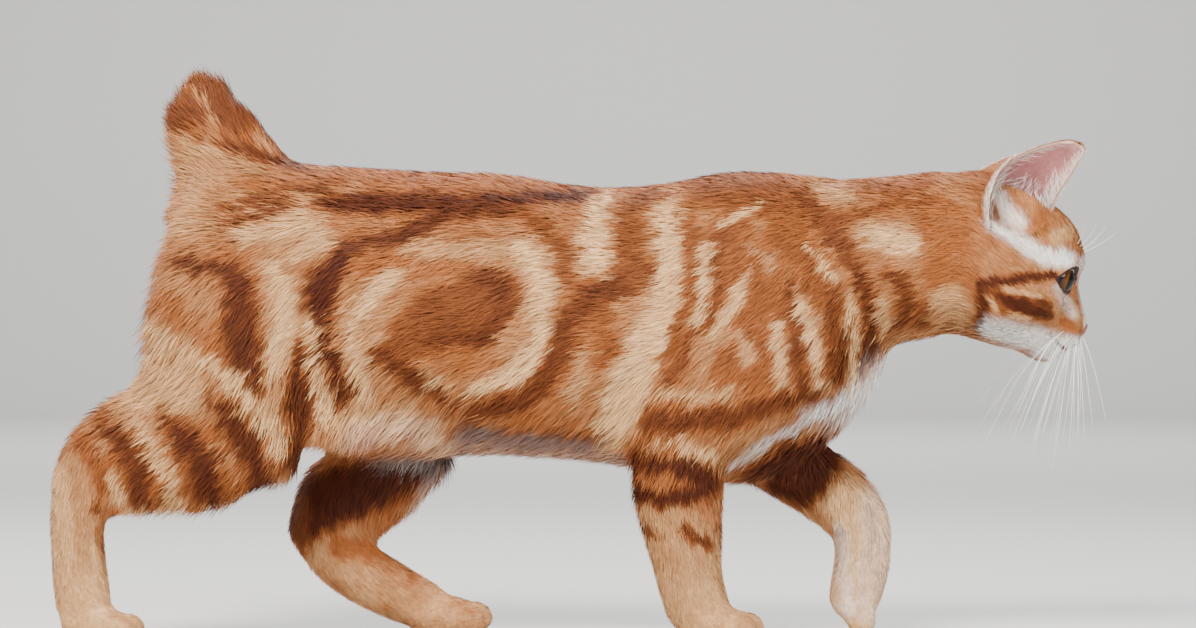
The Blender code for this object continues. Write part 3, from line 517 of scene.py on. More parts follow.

# The markings, as strokes drawn on the near side of the cat, in pixels of the camera's frame.
# Each has its tone, from 0, cream, to 1, rust, and then x, y and half width from end to end.
# Those on the trunk and head are on both sides of the cat.
# A few dark strokes, along the belly and under the chest, are painted shade
MARKS_AND_SHADE = (
    (0.70, (700, 190, 14), (760, 195, 22), (800, 205, 18)),
    (0.60, (730, 240, 24), (760, 300, 34), (790, 350, 26), (740, 370, 26)),
    (0.62, (790, 240, 20), (815, 270, 16), (820, 300, 12)),
    (0.50, (240, 186, 7), (320, 179, 9), (400, 185, 9), (480, 189, 8), (570, 195, 6)),
    (0.88, (222, 214, 3), (262, 200, 4), (300, 189, 4), (335, 193, 4)),
    (0.84, (225, 230, 3), (258, 215, 4), (292, 204, 5)),
    (0.98, (326, 207, 8), (380, 208, 11), (440, 206, 10), (500, 204, 7), (606, 199, 5)),
    (0.45, (330, 220, 4), (380, 226, 5), (420, 222, 4)),
    (0.18, (240, 240, 6), (300, 225, 9), (330, 240, 9), (300, 255, 10)),
    (0.92, (345, 252, 8), (372, 245, 9), (402, 237, 8), (440, 222, 8), (480, 213, 8), (520, 214, 6)),
    (0.72, (520, 214, 6), (548, 230, 9), (566, 256, 11), (570, 280, 9)),
    (1.00, (345, 258, 9), (326, 277, 15), (322, 298, 17), (325, 330, 11), (333, 360, 10), (339, 386, 10),
     (343, 404, 6)),
    (0.12, (402, 276, 7), (378, 288, 11), (358, 312, 8), (355, 345, 6), (358, 372, 7), (364, 396, 9)),
    (0.30, (400, 250, 5), (440, 248, 9), (480, 252, 10), (510, 250, 8)),
    (0.76, (398, 345, 16), (430, 326, 28), (468, 312, 34), (500, 292, 22)),
    (0.88, (486, 275, 9), (508, 288, 11), (506, 312, 11), (490, 335, 11)),
    (0.92, (428, 346, 4), (465, 340, 5), (500, 336, 4)),
    (0.92, (380, 352, 8), (404, 370, 10), (432, 388, 8), (455, 404, 6)),
    (0.20, (432, 378, 7), (446, 384, 5)),
    (0.02, (522, 250, 7), (538, 265, 10), (546, 288, 10), (541, 318, 8), (538, 345, 8), (524, 366, 11),
     (505, 378, 10), (478, 386, 5)),
    (0.88, (655, 264, 6), (625, 284, 12), (592, 300, 16), (570, 325, 13), (560, 352, 12), (545, 382, 11),
     (520, 400, 10), (492, 408, 9), (468, 414, 6)),
    (0.02, (610, 192, 4), (600, 212, 9), (597, 240, 13), (598, 264, 13), (606, 276, 5)),
    (0.74, (660, 196, 5), (638, 206, 10), (630, 235, 12), (632, 260, 14), (640, 284, 10)),
    (0.68, (600, 315, 12), (612, 340, 9), (605, 360, 8)),
    (0.30, (585, 350, 6), (582, 380, 9), (575, 400, 9)),
    (0.06, (666, 216, 10), (670, 240, 12), (668, 275, 12), (662, 310, 16), (648, 345, 19), (634, 378, 20),
     (620, 410, 18), (606, 440, 14)),
    (0.66, (690, 210, 5), (690, 255, 6), (688, 300, 6), (678, 335, 8), (668, 356, 6)),
    (0.80, (690, 340, 7), (684, 362, 7), (672, 384, 6)),
    (0.10, (706, 243, 6), (707, 268, 8), (703, 298, 7), (697, 322, 5)),
    (0.78, (728, 222, 4), (718, 262, 5), (720, 284, 5), (712, 308, 5), (704, 332, 5)),
    (0.12, (757, 208, 3), (738, 216, 4), (722, 227, 3)),
    (0.32, (752, 242, 4), (772, 266, 5)),
    (0.10, (750, 274, 4), (738, 298, 7), (722, 322, 6), (714, 340, 4)),
    (0.28, (742, 338, 8), (750, 358, 8)),
    (0.12, (776, 322, 5), (778, 350, 8), (782, 376, 6)),
    (0.10, (806, 247, 3), (822, 270, 5), (842, 296, 4)),
    (0.08, (802, 300, 5), (810, 330, 6), (814, 356, 6), (820, 382, 6)),
    (0.86, (790, 282, 6), (800, 335, 5), (796, 362, 6), (802, 392, 6)),
    (0.82, (834, 290, 6), (828, 318, 7), (832, 350, 7), (833, 374, 6)),
    (0.02, (849, 300, 4), (845, 330, 6), (849, 356, 6), (850, 380, 6)),
    (0.94, (856, 268, 6), (866, 298, 8), (869, 325, 9), (865, 348, 9), (858, 362, 4)),
    (0.82, (806, 200, 7), (822, 224, 10), (840, 242, 11), (852, 262, 8)),
    (0.30, (825, 195, 8), (850, 198, 8)),
    (0.62, (862, 188, 6), (890, 192, 8), (930, 186, 6)),
    (0.72, (825, 222, 6), (862, 216, 4), (905, 206, 4), (940, 204, 4)),
    (0.08, (868, 236, 8), (895, 240, 14), (915, 248, 8)),
    (0.88, (884, 274, 4), (902, 276, 8), (908, 300, 8), (899, 326, 5)),
    (0.20, (884, 300, 6), (882, 325, 7)),
    (0.50, (945, 230, 26), (950, 270, 26)),
    (0.25, (950, 300, 16), (962, 320, 10)),
    (0.80, (925, 300, 5), (922, 325, 6)),
    (0.24, (655, 394, 4), (700, 396, 5), (742, 392, 4)),
    (0.88, (650, 420, 9), (690, 420, 12), (735, 416, 12), (775, 402, 9), (812, 392, 6)),
    # Painted shade along the underside of the belly
    (0.88, (462, 434, 11), (530, 439, 11), (600, 443, 10)),
    (0.16, (338, 426, 7), (372, 416, 12), (420, 424, 15), (452, 440, 8)),
    (0.50, (360, 440, 3), (384, 424, 3), (400, 412, 3)),
    (0.45, (396, 446, 3), (418, 430, 3), (428, 418, 3)),
    # Dark hair of the far foreleg, and painted shade under the chest
    (1.00, (756, 474, 7), (790, 457, 17), (820, 446, 16), (812, 480, 14)),
    (0.45, (766, 478, 5), (778, 484, 5)),
    # rump and thigh
    (0.94, (178, 262, 5), (208, 267, 7), (236, 276, 12), (240, 300, 17), (240, 330, 18), (245, 356, 15),
     (258, 380, 9)),
    (0.10, (272, 262, 8), (284, 295, 13), (284, 328, 14), (274, 352, 10), (268, 376, 5)),
    (0.94, (300, 345, 6), (298, 370, 10), (296, 400, 14), (298, 425, 13), (291, 460, 10)),
    (0.08, (312, 318, 6), (316, 350, 5), (319, 384, 6), (326, 418, 8)),
    (0.12, (152, 322, 5), (182, 350, 6), (215, 366, 7), (245, 392, 7), (262, 420, 7), (278, 448, 6)),
    (0.50, (165, 300, 6), (200, 325, 9), (218, 345, 6)),
    (0.14, (158, 352, 9), (178, 372, 10), (196, 392, 10)),
    (0.28, (192, 160, 8), (196, 182, 9), (192, 205, 9), (184, 232, 7)),
    # tail
    (0.86, (182, 120, 16), (212, 100, 24), (240, 120, 18)),
    (0.88, (222, 142, 3), (242, 150, 7), (266, 160, 7), (304, 169, 4)),
    (0.25, (180, 138, 3), (200, 146, 6), (215, 150, 4)),
    (0.30, (200, 96, 2), (214, 124, 3)),
    # head
    (0.68, (992, 302, 11), (1014, 303, 13), (1040, 306, 11)),
    (0.97, (1054, 276, 4), (1026, 278, 4.5), (1004, 283, 5), (982, 287, 6)),
    (0.94, (980, 287, 6), (984, 304, 7), (981, 325, 5)),
    (0.97, (998, 298, 5), (1012, 302, 7), (1030, 308, 7.5), (1046, 314, 5)),
    (0.22, (1006, 291, 3), (1024, 293, 3.5), (1042, 297, 3.5)),
    (0.20, (990, 302, 3), (996, 312, 4)),
    (0.15, (1030, 318, 3), (1014, 316, 3)),
    (0.90, (1040, 300, 2.5), (1050, 306, 3), (1052, 316, 3)),
    (0.24, (1058, 238, 8), (1072, 230, 8)),
    (0.24, (1070, 302, 4), (1076, 318, 4)),
    (0.55, (1064, 322, 4), (1072, 326, 4)),
)
NEAR_MARKS = (
    (0.16, (66, 480, 16), (75, 540, 24), (80, 600, 30), (110, 618, 24)),
    (0.34, (78, 470, 9), (84, 530, 8), (82, 580, 8)),
    (0.45, (100, 530, 4), (104, 570, 4)),
    (0.55, (112, 612, 4), (124, 618, 3)),
    (0.22, (140, 392, 22), (180, 400, 20)),
    (0.60, (184, 430, 16), (212, 458, 32), (236, 478, 26)),
    (0.56, (122, 462, 16), (140, 486, 14)),
    (0.92, (106, 424, 8), (130, 446, 11), (141, 468, 13), (138, 492, 12), (152, 504, 7)),
    (0.97, (166, 416, 7), (188, 440, 13), (204, 462, 17), (210, 490, 15)),
    (0.96, (212, 396, 7), (232, 420, 10), (250, 442, 14), (262, 466, 12), (265, 490, 10)),
    (0.18, (143, 424, 4), (156, 448, 5), (168, 474, 6), (178, 498, 6)),
    (0.38, (214, 436, 3), (230, 455, 4), (238, 478, 4)),
    (0.80, (97, 508, 4), (104, 512, 3)),
    (0.62, (84, 444, 9), (98, 462, 8), (104, 486, 7)),
    (0.18, (112, 480, 6), (120, 498, 6)),
    (0.12, (130, 512, 4), (190, 512, 4), (240, 504, 4)),
    (0.30, (650, 520, 30), (690, 560, 40), (690, 600, 40), (730, 618, 40)),
    (0.34, (668, 560, 8), (676, 600, 8)),
    (0.50, (724, 610, 4), (732, 618, 4)),
    (0.86, (626, 452, 4), (650, 446, 4), (676, 434, 5)),
    (0.10, (650, 444, 3), (684, 444, 5), (712, 456, 6)),
    (1.00, (628, 464, 9), (662, 462, 9), (692, 468, 10), (708, 478, 8)),
    (1.00, (634, 491, 10), (664, 497, 10), (698, 492, 11), (714, 482, 6)),
    (0.85, (644, 528, 4), (656, 533, 4)),
    (0.90, (680, 530, 5), (696, 538, 7), (708, 545, 5)),
    (0.50, (704, 590, 2), (708, 592, 2)),
)
# Markings of the far legs; their darkest strokes are dark hair and painted shade together, where the far legs
# and the chest's underside lie in shadow
FAR_MARKS_AND_SHADE = (
    (1.00, (440, 462, 10), (405, 470, 18), (368, 482, 24), (330, 500, 28), (305, 524, 18)),
    (0.85, (300, 500, 10), (304, 540, 9), (320, 562, 6)),
    (0.30, (330, 560, 24), (380, 580, 24), (430, 610, 24), (480, 612, 20)),
    (0.55, (340, 545, 12), (372, 556, 10), (410, 580, 8)),
    (0.70, (448, 606, 3), (460, 604, 4), (470, 612, 3)),
    (1.00, (746, 470, 9), (790, 456, 20), (822, 456, 20), (800, 488, 16), (770, 486, 8)),
    (0.04, (840, 500, 18), (868, 520, 22), (868, 570, 26), (858, 610, 26)),
    (1.00, (790, 446, 14), (828, 440, 12), (838, 452, 8)),
    (0.62, (866, 590, 5), (862, 610, 5)),
    (0.32, (866, 508, 5), (872, 540, 6), (870, 560, 5)),
    (0.60, (866, 576, 1.5), (878, 573, 1.5)),
)
# White areas: how white, then x, y and half width from end to end
WHITES = (
    (0.60, (735, 467, 4), (762, 444, 4), (790, 427, 4), (812, 414, 5)),
    (0.92, (806, 412, 5), (838, 400, 8), (862, 385, 10), (890, 358, 9)),
    (0.95, (1036, 256, 5), (1048, 258, 8), (1060, 259, 9), (1070, 260, 7)),
    (0.80, (994, 226, 5), (1010, 233, 7), (1026, 244, 8), (1040, 254, 7)),
    (0.62, (998, 200, 8), (1006, 212, 9), (1020, 222, 7)),
    (0.95, (990, 330, 9), (1012, 334, 12), (1036, 340, 13), (1060, 346, 10), (1080, 346, 8)),
    (0.90, (1040, 352, 8), (1062, 356, 8), (1080, 352, 8)),
    (0.60, (1083, 262, 5), (1083, 285, 5), (1087, 312, 4), (1088, 326, 3)),
    (0.40, (1058, 289, 4), (1066, 302, 6), (1073, 314, 5)),
    (0.14, (350, 436, 8), (385, 426, 14), (430, 432, 12), (452, 444, 8)),
    # The belly's white is kept faint: painted shade under the belly
    (0.14, (462, 440, 12), (530, 446, 12), (600, 450, 10)),
    (0.32, (470, 458, 4), (540, 459, 4), (610, 462, 4)),
    (0.20, (436, 458, 4), (412, 502, 5), (396, 530, 4)),
    (0.42, (892, 488, 5), (902, 528, 6), (904, 570, 6), (897, 612, 6)),
    (0.38, (846, 530, 6), (851, 572, 6), (847, 612, 8)),
    (0.26, (876, 506, 14), (882, 560, 18), (872, 610, 18)),
    (0.18, (53, 470, 3), (50, 540, 3), (54, 600, 3)),
)
# Lines of the forehead and crown, in the head's own frame: tone, half width, places
FACE_LINES = (
    (0.82, 0.0015, (0.0360, 0.0026, 0.0180), (0.0280, 0.0034, 0.034), (0.010, 0.0045, 0.041),
     (-0.020, 0.0050, 0.043)),
    (0.80, 0.0016, (0.0330, 0.0100, 0.0195), (0.0240, 0.0120, 0.031), (0.006, 0.0130, 0.038),
     (-0.020, 0.0135, 0.040)),
    (0.72, 0.0014, (0.0350, 0.0035, 0.0210), (0.0330, 0.0080, 0.0230), (0.0325, 0.0110, 0.0190)),
)


def camera_place(points):
    """Where the points show in the camera's frame, in pixels."""
    near = CAMERA_WAY / (CAMERA_WAY + points[:, 1])
    across = FRAME_WIDTH / 2 + (points[:, 0] - CAMERA_X) / PIXEL * near
    down = FRAME_HEIGHT / 2 - (points[:, 2] - CAMERA_Z) / PIXEL * near
    return np.stack([across, down], 1)


def stroke_share(places, stroke, softness=MARK_SOFTNESS):
    """How much of each place a stroke covers; its edge is soft in proportion to its width."""
    best = np.zeros(len(places))
    rows = np.array(stroke, float)
    for start, end in zip(rows, rows[1:]):
        soft = np.clip(softness * max(start[2], end[2]), 2.0, 7.5)
        low = np.minimum(start, end)[:2] - max(start[2], end[2]) - 3 * soft
        high = np.maximum(start, end)[:2] + max(start[2], end[2]) + 3 * soft
        near = np.flatnonzero(np.all((places > low) & (places < high), axis=1))
        if not len(near):
            continue
        part = places[near]
        along = end[:2] - start[:2]
        t = np.clip((part - start[:2]) @ along / (along @ along), 0.0, 1.0)
        off = np.linalg.norm(part - start[:2] - t[:, None] * along, axis=1)
        half = start[2] + (end[2] - start[2]) * t
        best[near] = np.maximum(best[near], 1 - ramp(half - soft, half + soft, off))
    return best


def trunk_area(points, ends, half, heights):
    """How far each point is inside a soft-edged area of the trunk."""
    x, y, z = points.T
    return band(*ends, x) * (1 - ramp(*half, np.abs(y))) * band(*heights, z)


def coat_colour(points):
    """The coat's colour at each place, with painted shade on the far legs, the far hind foot, the belly and
    under the chest.
    """
    own = to_head(points)
    on_face = ramp(*FACE_FROM, own[:, 0]) * ramp(*HEAD_FROM, points[:, 0])
    mirrored = np.where(on_face[:, None] > 0.5, to_cat(near_side(own)), near_side(points))
    # The far side's markings lie a little off the near side's, and all edges are ragged
    shifted = np.where((points[:, 1] > 0) & (on_face < 0.5), 8.0, 0.0)[:, None]
    rough = 3.0 * noise_pair(points, 0.006, 1) + 2.0 * noise_pair(points, 0.0022, 3)
    rough *= (1 - 0.6 * on_face)[:, None]
    places = camera_place(mirrored) + shifted * noise_pair(points, 0.030, 5) + rough
    direct = camera_place(points) + rough
    tone = GROUND_TONE + 0.10 * noise(points, 0.025, 7)
    for value, *stroke in MARKS_AND_SHADE:
        tone = blend(tone, value, stroke_share(places, stroke))
    # The legs' markings; on the far legs their darkest strokes are also painted shade
    for side, start, marks in ((-1.0, NEAR_INNER, NEAR_MARKS), (1.0, FAR_INNER, FAR_MARKS_AND_SHADE)):
        here = ramp(start, start + INNER_FADE, points[:, 1] * side) * (points[:, 2] < LEGS_TOP)
        for value, *stroke in marks:
            tone = blend(tone, value, stroke_share(direct, stroke) * here)
    # Feet and lower legs are pale
    mottled = PAW_TONE + 0.11 * noise(points, 0.007, 14) + 0.07 * noise(points, 0.0025, 15)
    # Painted shade on the far hind foot
    mottled += FAR_FOOT_PAINTED_SHADE * ((points[:, 1] > 0) & (points[:, 0] < HIND_FEET_TO))
    tone = blend(tone, mottled, 0.75 * (1 - ramp(*PALE_FEET, points[:, 2])))
    white = np.zeros(len(points))
    for value, *stroke in WHITES:
        white = np.maximum(white, value * stroke_share(places, stroke, WHITE_SOFTNESS))
    face = np.flatnonzero(on_face > 0.02)
    lines = unit(own[face] - HEAD_SEED)
    reach = np.linalg.norm(own[face] - HEAD_SEED, axis=1)
    for value, half, *path in FACE_LINES:
        share = 1 - ramp(half - 0.0006, half + 0.0007, line_distance(lines, path) * reach)
        share *= on_face[face] * (0.85 + 0.3 * noise(points[face], 0.003, 12))
        tone[face] = blend(tone[face], value, share)
        white[face] *= 1 - share
    sway = np.zeros_like(points)
    sway[:, 1] = 0.0015 * noise(points, 0.02, 9)
    tone = blend(tone, SPINE_TONE, trunk_area(points + sway, *SPINE_STRIPE))
    for value, area in ((0.40, PALE_BELLY), (0.80, WHITE_CHEST)):
        white = np.maximum(white, value * trunk_area(points, *area))
    tone = np.clip(tone + 0.05 * noise(points, 0.004, 10), 0.0, 1.0)[:, None]
    colour = np.where(tone < 0.5, blend(CREAM, ORANGE, tone * 2), blend(ORANGE, RUST, tone * 2 - 1))
    return blend(colour, WHITE, white[:, None])


def bare_share(points):
    """How bare each place is: the nose, and the line of the mouth where no fur hides it."""
    own = to_head(points)
    lines = unit(own - HEAD_SEED)
    reach = np.linalg.norm(own - HEAD_SEED, axis=1)
    front = ramp(*MOUTH_FROM, own[:, 0])
    mouth = (1 - ramp(*MOUTH_EDGE, line_distance(lines, MOUTH) * reach)) * front
    middle, radii = BARE_NOSE
    nose = 1 - ramp(0.9, 1.1, np.linalg.norm((own - middle) / radii, axis=1))
    return np.maximum(mouth, nose)


def eye_frame(side, towards=EYE_LOOK):
    """The eye's middle and its axes: where it looks, outwards and up, in the cat's frame."""
    look = Vector((towards[0], side * towards[1], towards[2])).normalized()
    out = Vector((0.0, side, 0.0))
    out = (out - look * out.dot(look)).normalized()
    out.rotate(Matrix.Rotation(-side * EYE_TILT, 3, look))
    up = look.cross(out) * side
    turn = HEAD_MATRIX.to_3x3()
    middle = HEAD_MATRIX @ Vector((EYE_PLACE[0], side * EYE_PLACE[1], EYE_PLACE[2]))
    return tuple(np.array(v) for v in (middle, turn @ look, turn @ out, turn @ up))


def lid_edges(across):
    """Heights of the upper and lower lid's edge at the share across of the half width."""
    curve = (1 - np.minimum(across**2, 1.0)) ** 0.75
    return UPPER_LID * EYE_OPENING[1] * curve, -LOWER_LID * EYE_OPENING[1] * curve


def lid_gap(points, side, margin=0.0):
    """For one eye: how far across and how high each point is in its lid gap, and which points are near it."""
    middle, look, out, up = eye_frame(side)
    away = points - middle
    reach = np.linalg.norm(away, axis=1)
    scale = (EYE_RADIUS + LID_RISE) / np.maximum(reach, 1e-6)
    across = away @ out * scale / (EYE_OPENING[0] / 2 + margin)
    height = away @ up * scale
    top, bottom = lid_edges(across)
    near = (away @ look > 0) & (reach < EYE_REACH)
    return across, height - bottom, top - height, near


def open_eyes(points):
    """Sinks the skin behind the eyeballs inside the gaps between the lids."""
    for side in (1.0, -1.0):
        middle = eye_frame(side)[0]
        across, above, below, near = lid_gap(points, side)
        inside = np.minimum(np.minimum(above, below), (1 - np.abs(across)) * 0.004)
        share = ramp(-0.0001, 0.0003, inside) * near
        sunk = middle + unit(points - middle) * (EYE_RADIUS - EYE_DEPTH)
        points = blend(points, sunk, share[:, None])
    return points


def select_only(obj):
    """Leaves this object selected alone."""
    for other in scene.objects:
        other.select_set(False)
    obj.select_set(True)
    bpy.context.view_layer.objects.active = obj


def cut_finer(obj, chosen, cuts):
    """Divides the edges between chosen points, with this many cuts on each."""
    bm = bmesh.new()
    bm.from_mesh(obj.data)
    bm.verts.ensure_lookup_table()
    edges = [e for e in bm.edges if chosen[e.verts[0].index] and chosen[e.verts[1].index]]
    bmesh.ops.subdivide_edges(bm, edges=edges, cuts=cuts, use_grid_fill=True)
    bm.to_mesh(obj.data)
    bm.free()


FLESH = sorted(n for n in frame["nodes"] if not n.startswith(("eye_", "ear_")))


def make_skin():
    """One surface under the whole coat, with the fine face."""
    bm = bmesh.new()
    for name in FLESH:
        bm.from_mesh(frame["nodes"][name].data)
    bmesh.ops.remove_doubles(bm, verts=bm.verts, dist=0.00001)
    bm.normal_update()
    for vert in bm.verts:
        vert.co += vert.normal * SKIN_SWELL
    for side in (1.0, -1.0):
        matrix = Matrix.Translation(eye_frame(side)[0])
        bmesh.ops.create_uvsphere(bm, u_segments=32, v_segments=20, radius=EYE_RADIUS + 0.0010, matrix=matrix)
    skin = new_object("skin", bm, smooth=False)
    remesh = skin.modifiers.new("join", "REMESH")
    remesh.mode = "VOXEL"
    remesh.voxel_size = VOXEL
    settle(skin)
    # The toes keep their creases, and the rest is evened out
    group = skin.vertex_groups.new(name="even")
    for index, weight in enumerate(0.04 + 0.96 * ramp(0.018, 0.050, points_of(skin)[:, 2])):
        group.add([index], weight, "REPLACE")
    smooth = skin.modifiers.new("even", "SMOOTH")
    smooth.factor = 0.5
    smooth.iterations = 14
    smooth.vertex_group = group.name
    settle(skin)
    skin.vertex_groups.clear()
    select_only(skin)
    skin.data.uv_layers.new(name="OFBake")
    bpy.ops.object.mode_set(mode="EDIT")
    bpy.ops.mesh.select_all(action="SELECT")
    bpy.ops.uv.smart_project(angle_limit=math.radians(66), island_margin=0.002)
    bpy.ops.object.mode_set(mode="OBJECT")
    line_x, line_z = np.array(HEAD_LINE)[::-1].T

    def ahead(points):
        """How far each point lies in front of the line where the head's own shape begins."""
        return points[:, 0] - np.interp(points[:, 2], line_z, line_x)

    cut_finer(skin, ahead(points_of(skin)) > -0.002, HEAD_CUTS)
    points = points_of(skin)
    share = ramp(0.0, FACE_FADE, ahead(points))
    head = np.flatnonzero(share > 0)
    face = to_cat(on_head(to_head(points[head])))
    points[head] += (face - points[head]) * share[head, None]
    set_points(skin, points)
    own = to_head(points)
    cut_finer(skin, (own[:, 0] > 0.012) & (ahead(points) > 2 * FACE_FADE), FACE_CUTS)
    points = points_of(skin)
    face = np.flatnonzero((to_head(points)[:, 0] > 0.008) & (ahead(points) > 1.5 * FACE_FADE))
    points[face] = to_cat(on_head(to_head(points[face])))
    set_points(skin, points)
    _, length, lift = coat_at(points)
    depth = depth_at(length, lift)
    points -= normals_of(skin) * depth[:, None]
    points[:, 2] = np.maximum(points[:, 2], 0.0002)
    set_points(skin, open_eyes(points))
    skin.data.shade_smooth()
    return skin


def triangles_of(obj):
    """The corners of the mesh's triangles, and their places on its unwrap."""
    mesh = obj.data
    mesh.calc_loop_triangles()
    corners, loops = (read(mesh.loop_triangles, key, 3, np.int32) for key in ("vertices", "loops"))
    return corners, read(mesh.uv_layers["OFBake"].data, "uv", 2)[loops]


def strew(obj, count, density):
    """Roots spread over the mesh: places, normals and places on its unwrap."""
    verts, uv = triangles_of(obj)
    points, normals = points_of(obj), normals_of(obj)
    corners = points[verts]
    size = np.linalg.norm(np.cross(corners[:, 1] - corners[:, 0], corners[:, 2] - corners[:, 0]), axis=1)
    size *= density(corners.mean(1))
    steps = np.cumsum(size)
    picks = np.searchsorted(steps, (np.arange(count) + rng.random(count)) / count * steps[-1])
    picks = np.minimum(picks, len(size) - 1)
    a, b = np.sqrt(rng.random(count)), rng.random(count)
    shares = np.stack([1 - a, a * (1 - b), a * b], 1)[:, :, None]
    return (
        (corners[picks] * shares).sum(1),
        unit((normals[verts[picks]] * shares).sum(1)),
        (uv[picks] * shares).sum(1),
    )


def tuft_density(points):
    """How closely the tufts stand: short ones closer than long ones."""
    own = to_head(points)
    face = ramp(-0.030, 0.010, own[:, 0]) * ramp(0.205, 0.220, points[:, 0])
    _, length, _ = coat_at(points)
    dense = np.clip((0.0105 / length) ** 0.85, 0.8, 5.0)
    return dense * (1 + 0.35 * face)


def grow(name, roots, normals, ways, length, width, lift, colours, uvs, bend=0.10, locks=None):
    """Thin tapered tufts: each leaves the skin at a slant, then lies along the coat. Returns their pieces."""
    count = len(roots)
    ways = unit(ways - normals * np.sum(ways * normals, axis=1, keepdims=True))
    side = np.cross(normals, ways)
    turn = 0.22 * noise(roots, 0.020, 21) + 0.16 * noise(roots, 0.007, 22) + 0.07 * rng.standard_normal(count)
    ways = ways * np.cos(turn)[:, None] + side * np.sin(turn)[:, None]
    side = np.cross(normals, ways)
    length = length * rng.uniform(*LENGTH_SPREAD, count)
    lift = lift * rng.uniform(*LIFT_SPREAD, count)
    pull = np.zeros((count, 3))
    if locks is not None:
        centres, lock, away = locks
        pull = (centres[lock] - roots) * (1 - ramp(*LOCK_REACH, away))[:, None]
        pull -= normals * np.sum(pull * normals, axis=1, keepdims=True)
    sway = bend * rng.standard_normal(count)
    spin = rng.uniform(-FACE_SPIN, FACE_SPIN, count)
    flat = side * np.cos(spin)[:, None] + normals * np.sin(spin)[:, None]
    rows = []
    for s, wide in TUFT_STATIONS:
        middle = spine_point(s, roots, normals, ways, side, length, lift, sway, pull)
        half = flat * (width * wide / 2)[:, None]
        rows += [middle - half, middle + half]
    rows.append(spine_point(1.0, roots, normals, ways, side, length, lift, sway, pull))
    points = np.stack(rows, 1)
    points[..., 2] = np.maximum(points[..., 2], 0.0001)
    # Painted shade: each tuft is darker at its root, deep in the coat
    root_shaded_colours = colours[:, None, :] * np.array(TUFT_PAINTED_SHADES)[None, :, None]
    across = np.array((-1, 1, -1, 1, 0)) * TUFT_PATCH
    along = np.array((-1, -1, 0, 0, 1)) * TUFT_PATCH
    patch = uvs[:, None, :] + np.stack([across, along], 1)[None]
    # The tufts take the light as the coat's whole surface does
    soft = unit(normals * 0.85 + np.cross(ways, flat) * 0.15 + rng.standard_normal((count, 3)) * 0.08)
    pieces = []
    order = np.argsort(roots[:, 0], kind="stable")
    parts = max(1, math.ceil(count / MOST_IN_PIECE))
    for number, chosen in enumerate(np.array_split(order, parts), 1):
        start = (np.arange(len(chosen)) * 5)[:, None]
        quads = start + (0, 2, 3, 1)
        tips = start + (2, 4, 3)
        label = f"{name}_{number}" if parts > 1 else name
        piece = mesh_object(label, points[chosen].reshape(-1, 3), [quads, tips])
        paint(piece, root_shaded_colours[chosen].reshape(-1, 3))
        piece.data.normals_split_custom_set_from_vertices(np.repeat(soft[chosen], 5, axis=0))
        unwrap(piece, patch[chosen].reshape(-1, 2))
        pieces.append(piece)
    return pieces


def spine_point(s, roots, normals, ways, side, length, lift, sway, pull):
    """The place at the share s along each tuft."""
    rise = lift * (s - 0.42 * s * s)
    ahead = (length * s * (1 - 0.12 * lift))[:, None]
    place = roots - normals * TUFT_ROOT + ways * ahead + normals * (length * rise)[:, None]
    return place + side * (length * sway * s * s)[:, None] + pull * (LOCK_PULL * s**1.3)


def find_locks(roots, share):
    """Centres of locks among the roots, the lock that each root is in and how far it is from its centre."""
    centres = roots[rng.permutation(len(roots))[: max(8, int(len(roots) * share))]]
    tree = KDTree(len(centres))
    for index, centre in enumerate(centres):
        tree.insert(centre, index)
    tree.balance()
    found = [tree.find(root)[1:] for root in roots]
    lock, away = np.array(found).T
    return centres, lock.astype(int), away


def make_coat(skin):
    """The tufts of the whole coat, rooted in the skin and coloured by the markings."""
    roots, normals, uvs = strew(skin, TUFTS, tuft_density)
    bare = bare_share(roots) + eye_share(roots)
    under = (roots[:, 2] < 0.0025) & (normals[:, 2] < -0.3)
    keep = (bare < MOST_BARE) & ~under
    roots, normals, uvs = roots[keep], normals[keep], uvs[keep]
    ways, length, lift = coat_at(roots)
    locks = find_locks(roots, LOCK_SHARE)
    # The hairs of a lock share one place of the markings, a little off their own
    centres, lock, _ = locks
    drift = rng.standard_normal((len(centres), 2)) * (0.0016, 0.0006)
    stray = np.clip(length / 0.010, 0.0, 1.3)
    seen = roots * 0.45 + centres[lock] * 0.55 + ways * (0.50 * length + drift[lock, 0] * stray)[:, None]
    seen += np.cross(normals, ways) * (drift[lock, 1] * stray)[:, None]
    seen += rng.standard_normal(roots.shape) * (0.0006 * stray)[:, None]
    glow = (1 + 0.08 * rng.standard_normal(len(centres)))[lock] * rng.uniform(0.90, 1.10, len(roots))
    colours = coat_colour(seen) * np.clip(glow, 0.75, 1.25)[:, None]
    width = np.clip(0.00012 + 0.026 * length, 0.00019, 0.00046) * rng.uniform(0.8, 1.2, len(roots))
    colours = np.clip(colours, 0.0, 0.97)
    return grow("coat", roots, normals, ways, length, width, lift, colours, uvs, locks=locks)


def eye_share(points, margin=0.0004):
    """1 inside the gaps between the lids and for a margin round them."""
    found = np.zeros(len(points))
    for side in (1.0, -1.0):
        across, above, below, near = lid_gap(points, side, margin)
        found[near & (above > -margin) & (below > -margin) & (np.abs(across) < 1)] = 1.0
    return found


